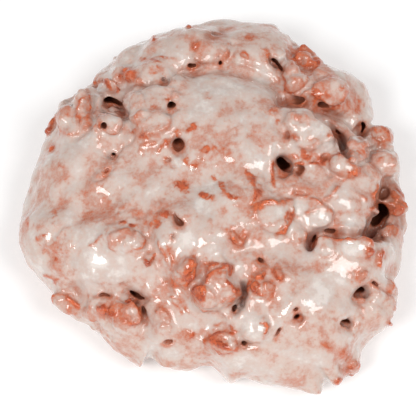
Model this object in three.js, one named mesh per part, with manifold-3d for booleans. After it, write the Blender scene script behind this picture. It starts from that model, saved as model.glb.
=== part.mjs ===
// An apple fritter: one craggy piece of fried dough under a coat of glaze, resting on a flat foot.
// Millimetres, +Z up. The origin is on the resting surface, under the middle of the outline.
// The side that faces -Y is the front.
import * as THREE from "three";
import { mergeVertices } from "three/addons/utils/BufferGeometryUtils.js";
import Module from "manifold-3d";

// Driving dimensions of the plain domed form, before any relief
const crownHeight = 37;
const waistHeight = 12;
const bellyDrop = 14;
const crownSpread = 0.8;
const crownRound = 1.2;
const bellySpread = 0.55;

// How far the waist reaches from the middle, in even steps from +X towards +Y
const waistReach = [
  61.5, 60, 60, 60, 61, 62.5, 62.5, 60, 60, 56.5, 59, 54.5,
  58, 59, 58, 55, 57.5, 56, 55, 61, 70, 69, 64, 62,
];

// Large swellings of the dough: plan x and y, radius, rise, and how smooth the glaze lies on them
const swellings = [
  [-17, 22, 18, 5.0, 0.8], // left crown
  [8, 15, 20, 5.0, 0.8], // crown
  [-43, 8, 16, 4.5, 0.7], // left lobe
  [-8, 51, 13, 4.5, 0.4], // far ridge
  [15, 51, 13, 4.5, 0.6], // far right ridge
  [39, 35, 12, 5.0, 0.4], // right shoulder
  [30, 17, 11, 6.0, 0.5], // right crown
  [43, -3, 12, 4.0, 0.2], // right flank
  [43, -26, 13, 5.5, 0.4], // right ledge
  [32, -44, 15, 5.5, 0.6], // front right lobe
  [51, -38, 10, 5.0, 0.4], // front right corner
  [14, -48, 12, 5.0, 0.7], // front lobe
  [-32, -27, 15, 4.5, 0.7], // front left pool
  [-52, -18, 12, 5.0, 0.5], // left hip
  [-7, -21, 13, 5.0, 0.3], // middle
  [8, -13, 11, 5.0, 0.2], // middle right
];

// Knobs that swell out of the crust: plan x and y, half length, half width, rise, turn in degrees
const knobs = [
  [-8, -33, 6.0, 3.8, 3.5, 65],
  [-21, -28, 3.6, 3.0, 2.5, 0],
  [15, -37, 4.4, 3.6, 3.0, 0],
  [21, -34, 3.6, 3.2, 3.0, 50],
  [7, -23, 4.4, 3.6, 3.0, -30],
  [38, 34, 6.0, 5.6, 2.6, 0],
  [47, 13, 4.4, 4.0, 3.6, 80],
  [42, 5, 6.2, 4.8, 4.2, -15],
  [50, 1, 4.4, 3.8, 3.0, 60],
  [29, -10, 4.6, 3.8, 2.6, -40],
  [43, -14, 5.0, 3.6, 2.6, 10],
  [20, 8, 5.0, 4.2, 2.0, 30],
  [-2, 48, 8.0, 5.0, 3.0, 0],
  [-26, 38, 4.8, 3.4, 3.0, -30],
  [-34, -40, 3.6, 3.2, 3.0, 0],
  [-26, -43, 4.6, 3.8, 3.2, 10],
  [-15, -46, 5.0, 4.2, 3.4, 70],
  [3, -52, 6.0, 4.2, 3.4, -20],
];

// Nuggets that stand proud: plan x and y, half length, half width, half height, turn in degrees
const nuggets = [
  [1, -38, 7.0, 6.0, 5.5, 20],
  [-27, -23, 6.5, 4.2, 3.8, -10],
  [19, -15, 7.0, 5.5, 4.8, 40],
  [26, 38, 5.2, 3.8, 5.5, 110],
  [31, 46, 5.0, 3.8, 4.6, -40],
  [53, 23, 5.6, 4.4, 4.8, 0],
  [56, 11, 5.6, 5.0, 5.0, 70],
  [-42, 26, 6.5, 3.6, 4.4, 75],
  [-46, -35, 4.8, 3.6, 4.2, -50],
];

// Holes between the lumps: plan x and y, half length, half width, depth, turn in degrees
const holes = [
  [-32, 27, 3.2, 1.6, 8, -20],
  [-13, 24, 1.8, 1.8, 9, 0],
  [-32, 7, 1.4, 1.4, 8, 0],
  [-11, 9, 2.2, 1.9, 6, 0],
  [24, 3, 3.2, 2.5, 8, -20],
  [21, 42, 3.0, 1.4, 7, -40],
  [53, -11, 4.0, 3.0, 10, 80],
  [48, -37, 2.6, 2.4, 7, 30],
  [43, -47, 2.4, 2.0, 6, -20],
  [27, -48, 1.7, 1.3, 8, 40],
  [-25, -39, 3.4, 2.0, 7, -25],
  [9, -41, 3.4, 1.7, 6, 80],
];

// Folds where lobes meet: plan points from end to end
const folds = [
  [[-37, 38], [-30, 34], [-24, 32], [-15, 34], [-6, 39], [5, 38], [15, 37], [24, 31]], // behind the crown
  [[22, 27], [34, 24], [38, 18], [43, 14]], // below the right shoulder
  [[32, -24], [34, -18], [40, -16], [47, -17], [54, -14]], // above the right ledge
  [[-30, 27], [-26, 15], [-32, 7], [-36, 2], [-42, -2]], // round the left lobe
  [[-40, -34], [-34, -35], [-29, -36], [-23, -38], [-20, -45]], // above the front left knobs
];
const foldWidth = 3.4;
const foldDepth = 3;

// Drips of glaze that hang from the front rim: bearing in degrees, half width, half height
const drips = [
  [246, 4.6, 9],
  [277, 5.4, 8],
  [301, 5.6, 8],
  [308, 4.4, 7],
];
const dripThickness = 3.4;
const dripInset = 0.6;
const dripMiddle = 9;
const dripTaper = 0.4;

// Small crags all over, by an even rule with a seeded draw
const cragCount = 380;
const cragRadius = [3.4, 7];
const cragRise = [0.8, 3.8];

// Seeds of the random draws
const cragSeed = 41;
const nuggetSeed = 100;
const holeSeed = 200;
const dripSeed = 300;

// Facets and roughness
const formDetail = 19;
const shareBelowWaist = 0.32;
const nuggetDetail = 2;
const holeDetail = 1;
const dripDetail = 1;
const capPower = 0.7;
const lumpCount = 7;
const lumpShare = 0.6;
const lumpLevel = 0.8;
const sunkShare = 0.25;
const uprightShare = 0.4;
const mergeDistance = 1e-3;

const skyward = new THREE.Vector3(0, 0, 1);
const wasm = await Module();
wasm.setup();

// A repeatable draw from 0 to 1
function seededDraw(seed) {
  let state = seed;
  return () => {
    state = (state + 0x6d2b79f5) | 0;
    let mixed = Math.imul(state ^ (state >>> 15), 1 | state);
    mixed = (mixed + Math.imul(mixed ^ (mixed >>> 7), 61 | mixed)) ^ mixed;
    return ((mixed ^ (mixed >>> 14)) >>> 0) / 4294967296;
  };
}

function between([low, high], share) {
  return low + (high - low) * share;
}

// A faceted ball of radius 1 whose corners are shared between facets
function makeBall(detail) {
  const ball = new THREE.IcosahedronGeometry(1, detail);
  ball.deleteAttribute("normal");
  ball.deleteAttribute("uv");
  return mergeVertices(ball, mergeDistance);
}

// Moves every corner of a geometry to where a rule puts it
function moveCorners(geometry, rule) {
  const corners = geometry.getAttribute("position");
  const corner = new THREE.Vector3();
  for (let k = 0; k < corners.count; k += 1) {
    const moved = rule(corner.fromBufferAttribute(corners, k), k);
    corners.setXYZ(k, moved.x, moved.y, moved.z);
  }
  geometry.computeVertexNormals();
  return geometry;
}

// A closed geometry as a solid that can be joined and cut
function solidOf(geometry) {
  const bare = new THREE.BufferGeometry();
  bare.setAttribute("position", geometry.getAttribute("position"));
  bare.setIndex(geometry.index);
  const merged = mergeVertices(bare, mergeDistance);
  return new wasm.Manifold(
    new wasm.Mesh({
      numProp: 3,
      vertProperties: merged.getAttribute("position").array,
      triVerts: new Uint32Array(merged.index.array),
    }),
  );
}

function geometryOf(solid) {
  const { vertProperties, triVerts } = solid.getMesh();
  const geometry = new THREE.BufferGeometry();
  geometry.setAttribute("position", new THREE.BufferAttribute(vertProperties, 3));
  geometry.setIndex(new THREE.BufferAttribute(triVerts, 1));
  geometry.computeVertexNormals();
  return geometry;
}

// The waist's reach at any bearing: a smooth closed curve through the even steps
function reachAt(bearing) {
  const count = waistReach.length;
  const place = ((bearing / (2 * Math.PI)) * count + count) % count;
  const step = Math.floor(place);
  const t = place - step;
  const [before, start, end, after] = [-1, 0, 1, 2].map((k) => waistReach[(step + k + count) % count]);
  const leave = (end - before) / 2;
  const arrive = (after - start) / 2;
  const bend = 2 * (start - end) + leave + arrive;
  const ease = 3 * (end - start) - 2 * leave - arrive;
  return ((bend * t + ease) * t + leave) * t + start;
}

// The plain domed form in a direction from its middle; more facets lie above the waist than below it
function formPoint(direction) {
  const bearing = Math.atan2(direction.y, direction.x);
  const waist = 2 * shareBelowWaist - 1;
  const above = direction.z > waist;
  const lift = above ? (direction.z - waist) / (1 - waist) : (waist - direction.z) / (1 + waist);
  const level = Math.sqrt(Math.max(0, 1 - lift * lift));
  const reach = reachAt(bearing) * level ** (above ? crownSpread : bellySpread);
  const rise = above ? (crownHeight - waistHeight) * lift ** crownRound : -bellyDrop * lift;
  return new THREE.Vector3(reach * Math.cos(bearing), reach * Math.sin(bearing), waistHeight + rise);
}

// Crags spread evenly by turning through the golden angle, each with its own size
function spreadCrags() {
  const draw = seededDraw(cragSeed);
  const goldenTurn = Math.PI * (3 - Math.sqrt(5));
  return Array.from({ length: cragCount }, (_, k) => {
    const z = 1 - (2 * (k + draw())) / cragCount;
    const bearing = k * goldenTurn + draw() / 4;
    const level = Math.sqrt(1 - z * z);
    const at = formPoint(new THREE.Vector3(level * Math.cos(bearing), level * Math.sin(bearing), z));
    return { at, radius: between(cragRadius, draw()), rise: between(cragRise, draw() ** 2) };
  });
}

// A round cap: 1 over its middle, 0 from its edge outwards
function cap(share) {
  return share < 1 ? (1 - share * share) ** capPower : 0;
}

// How far a plan point is from the middle of a turned oval, as a share of the oval's own reach
function ovalShare(point, [x, y, long, wide, , turn]) {
  const angle = THREE.MathUtils.degToRad(turn);
  const along = (point.x - x) * Math.cos(angle) + (point.y - y) * Math.sin(angle);
  const across = (point.y - y) * Math.cos(angle) - (point.x - x) * Math.sin(angle);
  return Math.hypot(along / long, across / wide);
}

// How far a plan point is from the nearest stretch of a fold
function foldDistance(point, line) {
  let nearest = Infinity;
  for (let k = 1; k < line.length; k += 1) {
    const [x0, y0] = line[k - 1];
    const [x1, y1] = line[k];
    const [runX, runY] = [x1 - x0, y1 - y0];
    const along = ((point.x - x0) * runX + (point.y - y0) * runY) / (runX * runX + runY * runY);
    const t = THREE.MathUtils.clamp(along, 0, 1);
    nearest = Math.min(nearest, Math.hypot(point.x - x0 - t * runX, point.y - y0 - t * runY));
  }
  return nearest;
}

// How far the crust stands off the plain form: swellings, knobs and crags, less the folds
function reliefAt(point, crags) {
  let swell = 0;
  let calm = 0;
  for (const [x, y, radius, rise, smooth] of swellings) {
    const share = cap(Math.hypot(point.x - x, point.y - y) / radius);
    swell = Math.max(swell, rise * share);
    calm = Math.max(calm, smooth * share);
  }
  const knob = Math.max(...knobs.map((oval) => oval[4] * cap(ovalShare(point, oval))));
  const crag = Math.max(...crags.map(({ at, radius, rise }) => rise * cap(point.distanceTo(at) / radius)));
  const fold = Math.max(...folds.map((line) => foldDepth * cap(foldDistance(point, line) / foldWidth)));
  const top = THREE.MathUtils.smoothstep(point.z, waistHeight / 2, (waistHeight * 3) / 2);
  return top * (swell - fold) + Math.max(top * knob, crag * (1 - top * calm));
}

// The dough's body: the domed form with its relief, standing off square to the surface
function makeBody() {
  const body = moveCorners(makeBall(formDetail), (corner) => formPoint(corner));
  const normals = body.getAttribute("normal").clone();
  const normal = new THREE.Vector3();
  const crags = spreadCrags();
  moveCorners(body, (corner, k) => {
    const relief = reliefAt(corner, crags);
    return corner.addScaledVector(normal.fromBufferAttribute(normals, k), relief);
  });
  return solidOf(body);
}

// Finds the surface straight below a plan point, and the way it faces
function makeFinder(solid) {
  const mesh = new THREE.Mesh(geometryOf(solid));
  return (x, y) => {
    const sky = new THREE.Vector3(x, y, 2 * crownHeight);
    const [hit] = new THREE.Raycaster(sky, skyward.clone().negate()).intersectObject(mesh);
    if (!hit) throw new Error(`nothing lies under ${x}, ${y}`);
    const facing = hit.face.normal.clone().lerp(skyward, uprightShare).normalize();
    return { point: hit.point, facing };
  };
}

// A lumpy ball that narrows downwards by a taper
function makeLumpyBall(detail, seed, taper) {
  const draw = seededDraw(seed);
  const swing = () => 2 * draw() - 1;
  const makeLump = () => new THREE.Vector3(swing(), swing(), swing()).normalize();
  const lumps = Array.from({ length: lumpCount }, makeLump);
  return moveCorners(makeBall(detail), (corner) => {
    const nearest = Math.max(...lumps.map((lump) => lump.dot(corner)));
    const narrow = 1 - (taper * (1 - corner.z)) / 2;
    corner.multiplyScalar(1 + lumpShare * (nearest - lumpLevel));
    return corner.multiply(new THREE.Vector3(narrow, narrow, 1));
  });
}

// A chunk of the given half sizes, turned, then stood at a point to face a way
function makeChunk(ball, halfSizes, turn, point, facing) {
  const spin = new THREE.Quaternion().setFromAxisAngle(skyward, THREE.MathUtils.degToRad(turn));
  const stand = new THREE.Quaternion().setFromUnitVectors(skyward, facing).multiply(spin);
  return solidOf(ball.applyMatrix4(new THREE.Matrix4().compose(point, stand, halfSizes)));
}

function makeNuggets(find) {
  return nuggets.map(([x, y, long, wide, tall, turn], k) => {
    const { point, facing } = find(x, y);
    point.addScaledVector(facing, -sunkShare * tall);
    const ball = makeLumpyBall(nuggetDetail, nuggetSeed + k, 0);
    return makeChunk(ball, new THREE.Vector3(long, wide, tall), turn, point, facing);
  });
}

function makeHoles(find) {
  return holes.map(([x, y, long, wide, deep, turn], k) => {
    const { point, facing } = find(x, y);
    const ball = makeLumpyBall(holeDetail, holeSeed + k, 0);
    return makeChunk(ball, new THREE.Vector3(long, wide, deep), turn, point, facing);
  });
}

function makeDrips() {
  return drips.map(([bearing, wide, tall], k) => {
    const angle = THREE.MathUtils.degToRad(bearing);
    const reach = reachAt(angle) - dripInset;
    const point = new THREE.Vector3(reach * Math.cos(angle), reach * Math.sin(angle), dripMiddle);
    const ball = makeLumpyBall(dripDetail, dripSeed + k, dripTaper);
    return makeChunk(ball, new THREE.Vector3(dripThickness, wide, tall), bearing, point, skyward);
  });
}

// The flat foot: everything below the resting surface is cut away
function makeFootCut() {
  const side = 4 * Math.max(...waistReach);
  return solidOf(new THREE.BoxGeometry(side, side, side).translate(0, 0, -side / 2));
}

// Scraps that a cut leaves loose are dropped
function largestOf(solid) {
  return solid.decompose().sort((a, b) => b.volume() - a.volume())[0];
}

function makeFritter() {
  const body = makeBody();
  const lumpy = wasm.Manifold.union([body, ...makeNuggets(makeFinder(body)), ...makeDrips()]);
  const cuts = [...makeHoles(makeFinder(lumpy)), makeFootCut()];
  return largestOf(wasm.Manifold.difference([lumpy, ...cuts]));
}

// Sets the origin under the middle of the outline
function centred(geometry) {
  geometry.computeBoundingBox();
  const middle = geometry.boundingBox.getCenter(new THREE.Vector3());
  return geometry.translate(-middle.x, -middle.y, -geometry.boundingBox.min.z);
}

const glazedCrust = new THREE.MeshStandardMaterial({ color: 0xd3b1a4, roughness: 0.3, metalness: 0 });
const fritter = new THREE.Mesh(centred(geometryOf(makeFritter())), glazedCrust);
fritter.name = "fritter";

const group = new THREE.Group();
group.add(fritter);

export default group;
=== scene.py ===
"""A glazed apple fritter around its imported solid: craggy fried dough under poured glaze."""

import math

import bmesh
import bpy
import numpy as np
from mathutils import Matrix, Vector, noise
from mathutils.bvhtree import BVHTree
from mathutils.kdtree import KDTree


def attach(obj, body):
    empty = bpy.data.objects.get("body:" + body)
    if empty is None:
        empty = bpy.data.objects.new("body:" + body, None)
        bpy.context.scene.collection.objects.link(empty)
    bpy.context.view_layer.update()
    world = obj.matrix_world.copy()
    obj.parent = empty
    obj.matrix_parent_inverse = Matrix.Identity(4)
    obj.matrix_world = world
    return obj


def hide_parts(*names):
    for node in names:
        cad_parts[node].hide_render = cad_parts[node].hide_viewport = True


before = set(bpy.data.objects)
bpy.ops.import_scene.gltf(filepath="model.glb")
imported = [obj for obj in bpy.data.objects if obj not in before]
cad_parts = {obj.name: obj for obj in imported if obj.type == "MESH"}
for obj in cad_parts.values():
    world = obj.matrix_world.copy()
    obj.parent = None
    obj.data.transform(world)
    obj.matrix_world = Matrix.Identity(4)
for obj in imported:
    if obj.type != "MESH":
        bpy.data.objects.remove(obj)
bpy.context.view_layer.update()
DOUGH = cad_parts["fritter"]

bl_info = {
    "name": "Glazed Apple Fritter",
    "version": (1, 0, 0),
    "blender": (4, 5, 0),
    "location": "View3D > Sidebar > Fritter",
    "description": "Shapes a craggy apple fritter, pours its glaze and sets a plain stage",
    "category": "Object",
}

MM = 0.001
WHITE = (1, 1, 1, 1)

# The photo's view: a square frame, looking down on the front of the fritter
FRAME_PIXELS = 416
SENSOR_MILLIMETRES = 36
CAMERA_AIM = Vector((-2.6, -3.2, 14.5)) * MM
CAMERA_DISTANCE = 0.58
CAMERA_RISE = math.radians(65)
FRAME_WIDTH = 0.1342
PIXEL = FRAME_WIDTH / FRAME_PIXELS
VIEW_AHEAD = Vector((0, math.cos(CAMERA_RISE), -math.sin(CAMERA_RISE)))
VIEW_UP = Vector((0, math.sin(CAMERA_RISE), math.cos(CAMERA_RISE)))
VIEW_RIGHT = Vector((1, 0, 0))
CAMERA_PLACE = CAMERA_AIM - CAMERA_DISTANCE * VIEW_AHEAD

# How squarely a surface faces the photo's camera where it counts as behind, turned away and in view
BEHIND = -0.6
TURNED_AWAY = -0.25
IN_VIEW = 0.1

# Even mesh work: the gap that merging closes, rounds of smoothing, and what points pass on to neighbours
MERGE_GAP = 0.001 * MM
SMOOTH_FACTOR = 0.5
BLANK_ROUNDS = 30
SKIN_ROUNDS = 2
KEPT_SHARE = 0.3
PASSED_SHARE = 0.7
LEAST_THINNING = 0.1
LEAST_LENGTH = 0.01

# Knobs: depth as a share of their smaller half size, and how uneven they are
KNOB_DEPTH = 0.9
KNOB_DIVISIONS = 2
KNOB_WOBBLE = 0.9 * MM
KNOB_WOBBLE_SIZE = 3 * MM

# The rim: bearings that it is measured on, and the shares of its reach between which it is drawn
BEARINGS = 720
RIM_BAND = (0.84, 0.99)

# Drawn marks: wobble of their edges in pixels, and how far past an oval they reach and fade
EDGE_WOBBLE = 1.4
EDGE_WOBBLE_SIZE = 2.5 * MM
MARK_REACH = 1.3
MARK_FADE = 0.7

# Noise that varies lumps and bare crust: fine grain, broader bands, and a net of veins
GRAIN_SIZE = 2.5 * MM
BAND_SIZE = 4.5 * MM
BAND_RANGE = (-0.3, 0.3)
VEIN_SIZE = 2.4 * MM
VEIN_SHARPNESS = 3.0
VEIN_RISE = 0.3 * MM

# Bare stretches: how sharply they fade, and how much of them the veins' net leaves, as base and gain
BARE_POWER = 1.4
BARE_REACH = 1.8
BARE_FALL = 1.3
NET = (0.45, 0.85)

# Lumps, in pixels from their outline: dished tops, slopes, soft or craggy sides, and bareness
LUMP_MARGIN = 3
DISH_SHARE = 0.25
DISH_RANGE = (1, 7)
TOP_GRAIN = 0.3
LEAST_TOP = 0.3
SLOPE_SPREAD = (0.35, 0.8)
CRAGGY_RIM = (0.3, 0.7)
SOFT_FOOT = -2.5
SOFT_REACH = 2.2
RIM_DEPTH = 1
RIM_TOP = 1.3
RIM_LINE = 1.3
RIM_SPREAD = (0.25, 0.9)
HALO_SHARE = 0.5
RIM_HALO = 6
BODY_RANGE = (-0.5, 2.0)
BODY_SPREAD = (0.6, 0.5)

# Ridges and creases: uneven height, worn crowns, and how round a crease is
RIDGE_SPREAD = (0.6, 0.6)
RIDGE_CROWN = 1.4
WORN_SPREAD = (0.45, 0.7)
CREASE_POWER = 1.5

# Crags: roughness that shows and that is hidden, steepness, levels, tilts, and bareness of their rims
SEEN_ROUGHNESS = 0.15
HIDDEN_ROUGHNESS = 0.7
ROUGH_FADE = 0.6
UNDERSIDE = (0.3, 0.9)
CRAG_STEEPNESS = 4.5
CRAG_WARP = 0.3
WARP_SCALE = 1.9
TILT_SCALE = 5.3
LEVEL_SCALE = 7.1
LEVEL = (0.4, 1.4)
CRAG_RIM = 0.9
CRAG_RIM_GAIN = 1.6
BROWNING_SIZE = 12 * MM
BROWNING_RANGE = (-0.25, 0.35)
HIDDEN_BARENESS = 0.9
SEEN_LOSS = 0.35
POOL_CALM = 2.2
MOST_CALM = 0.9

# Air holes: dimple and bare lip around them in pixels, and the plugs that cut them
HOLE_MARGIN = 6
DIMPLE_SHARE = 0.16
DIMPLE_RANGE = (-5, 1)
LIP_BARENESS = 0.4
LIP_RANGE = (-2, 0.5)
CUTTER_VOXEL = 0.4 * MM
CUTTER_ROUNDS = 3
CUTTER_STAND = 5 * MM
CUTTER_TAPER = 0.75
CUTTER_REACH = (0.45, 0.55)
CUTTER_LIFT = 0.25

# Rounds of smoothing that find the glaze's hollows and level it
NEAR_ROUNDS = 8
MIDDLE_ROUNDS = 39
WIDE_ROUNDS = 117
WET_ROUNDS = 3
POOL_ROUNDS = 196
PIT_SPREAD_ROUNDS = 10
BARE_SPREAD_ROUNDS = 33
LEVELLING = 0.9

# Cover of glaze: its usual amount, how tips, hollows, noise, bare crust and pits change it, its ends
USUAL_COVER = 0.68
TIP_LOSS = 1.8
HOLLOW_GAIN = 1.0
FOLD_GAIN = 0.2
BLOTCH_SHARE = 0.52
BLOTCH_SIZE = 6 * MM
BLOTCH_OCTAVES = 5
BLOTCH_SOFTNESS = 0.6
PATCH_SHARE = 0.2
PATCH_SIZE = 20 * MM
LEAST_COVER = 0.38
BARE_LOSS = 1.1
NEARBY_LOSS = 0.5
MOST_LOSS = 1.35
PIT_LOSS = 0.6
COVER_ENDS = (-0.3, 1.4)

# What the glaze fills, in millimetres, and pocks where it is dry
HOLLOW_FILL = 0.5
FOLD_FILL = 0.8
FOLD_SHARE = 0.5
FILLING = 0.9
POCK_DEPTH = 0.14
POCK_SIZE = 1.4 * MM

# Ranges over which pits close, lose glaze and darken with painted shade, and the glaze gets wet, flat
# and pooled
OPEN_PIT = (0.1, 0.6)
LOSS_PIT = (0.4, 1.6)
CAVE_PIT = (0.4, 2.0)
WET_COVER = (0.15, 0.6)
FLAT_COVER = (0.5, 0.9)
FLAT_FOLD = (0.25, 0.7)
POOL_COVER = (0.5, 0.8)
POOL_EXTRA = (0.2, 0.4)

# Ranges of sunken points, in millimetres, over which painted shade darkens dips and folds, and over
# which the painted shade of shady places fades in
DIP_RANGE = (0.02, 0.2)
FOLD_RANGE = (0.25, 1.6)
CREASE_SHARE = 0.65
CREASE_RANGE = (0.15, 0.7)
SHADE_RANGE = (-0.8, 0.3)

# Scales of the noise in the crust's material
SPECKLE_SCALE = 900
PATCH_SCALE = 220
FLECK_SCALE = 230
GRIT_SCALE = 1100

# The fritter's outline in the photo, side by side and clockwise from the far side, as pixels
OUTLINE = {
    "far side": (
        (186, 27), (200, 25), (213, 21), (225, 20), (240, 22), (253, 23), (265, 23), (273, 25),
        (280, 31), (288, 36)),
    "right shoulder": (
        (291, 43), (296, 49), (303, 52), (312, 58), (322, 66), (334, 69), (345, 71), (355, 76),
        (365, 85), (371, 98), (373, 110), (372, 118), (368, 124)),
    "right knobs": (
        (372, 127), (380, 126), (388, 128), (393, 135), (392, 143), (394, 151), (398, 157),
        (400, 166), (398, 178)),
    "right side": (
        (400, 188), (404, 197), (406, 206), (406, 218), (404, 228), (403, 240), (402, 250),
        (401, 262), (398, 276), (392, 279), (395, 290), (395, 302), (391, 311), (390, 320),
        (385, 327)),
    "right rim": (
        (376, 334), (367, 343), (360, 352), (359, 366), (356, 372), (349, 373), (342, 380),
        (336, 386), (332, 382), (326, 379), (322, 388), (320, 394)),
    "front rim": (
        (308, 393), (300, 390), (280, 385), (264, 384), (252, 380), (243, 378), (238, 380),
        (231, 383), (224, 377), (218, 371), (212, 367), (201, 367), (195, 369), (186, 371),
        (173, 369), (161, 366), (154, 359), (149, 354)),
    "left rim": (
        (146, 356), (144, 362), (140, 367), (134, 364), (128, 359), (120, 354), (113, 349),
        (104, 337), (98, 331), (92, 326), (80, 321), (70, 316)),
    "left side": (
        (62, 312), (55, 303), (53, 295), (46, 285), (37, 276), (28, 265), (22, 252), (19, 243),
        (19, 230), (22, 215), (25, 200), (30, 185), (33, 172)),
    "far left": (
        (38, 160), (42, 150), (46, 137), (46, 130), (50, 122), (56, 114), (62, 108), (70, 104),
        (79, 95), (85, 90), (93, 84), (95, 80), (102, 72), (113, 60), (124, 50), (140, 44),
        (157, 36), (166, 33), (175, 29)),
}

# Knobs of dough: pixel across and down, half sizes in pixels, stand as a share of their depth
KNOBS = {
    "edge knob": (381, 137, 11.5, 10.5, 0.3),
    "boss knob": (383, 166, 15.5, 13.5, 0.1),
    "peach knob": (358, 151, 12.5, 12, 0.5),
    "twin knob": (344, 167, 15, 11, 0.15),
    "peg knob": (296, 84, 9, 8.5, 0.1),
    "peg tip": (291, 71, 6, 6, 0.1),
    "shoulder knob": (330, 92, 17, 14, -0.2),
    "wedge knob": (305, 60, 11, 7, 0.0),
    "cavern shelf": (395, 209, 11, 6, 0.1),
    "cavern lump": (383, 231, 8, 8, 0.0),
    "cavern knob": (395, 230, 5, 6, 0.1),
    "hip knob": (66, 304, 11, 9, -0.35),
    "left tall knob": (84, 113, 7, 17, 0.15),
    "left round knob": (68, 122, 10, 13, -0.1),
    "slit knob": (110, 126, 10, 8.5, -0.25),
    "right ledge knob": (355, 249, 16, 11, -0.4),
    "left ledge knob": (325, 248, 13, 10, -0.4),
    "facet knob": (319, 220, 12, 10, -0.4),
    "far knob": (121, 76, 9, 6, 0.2),
}

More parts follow.
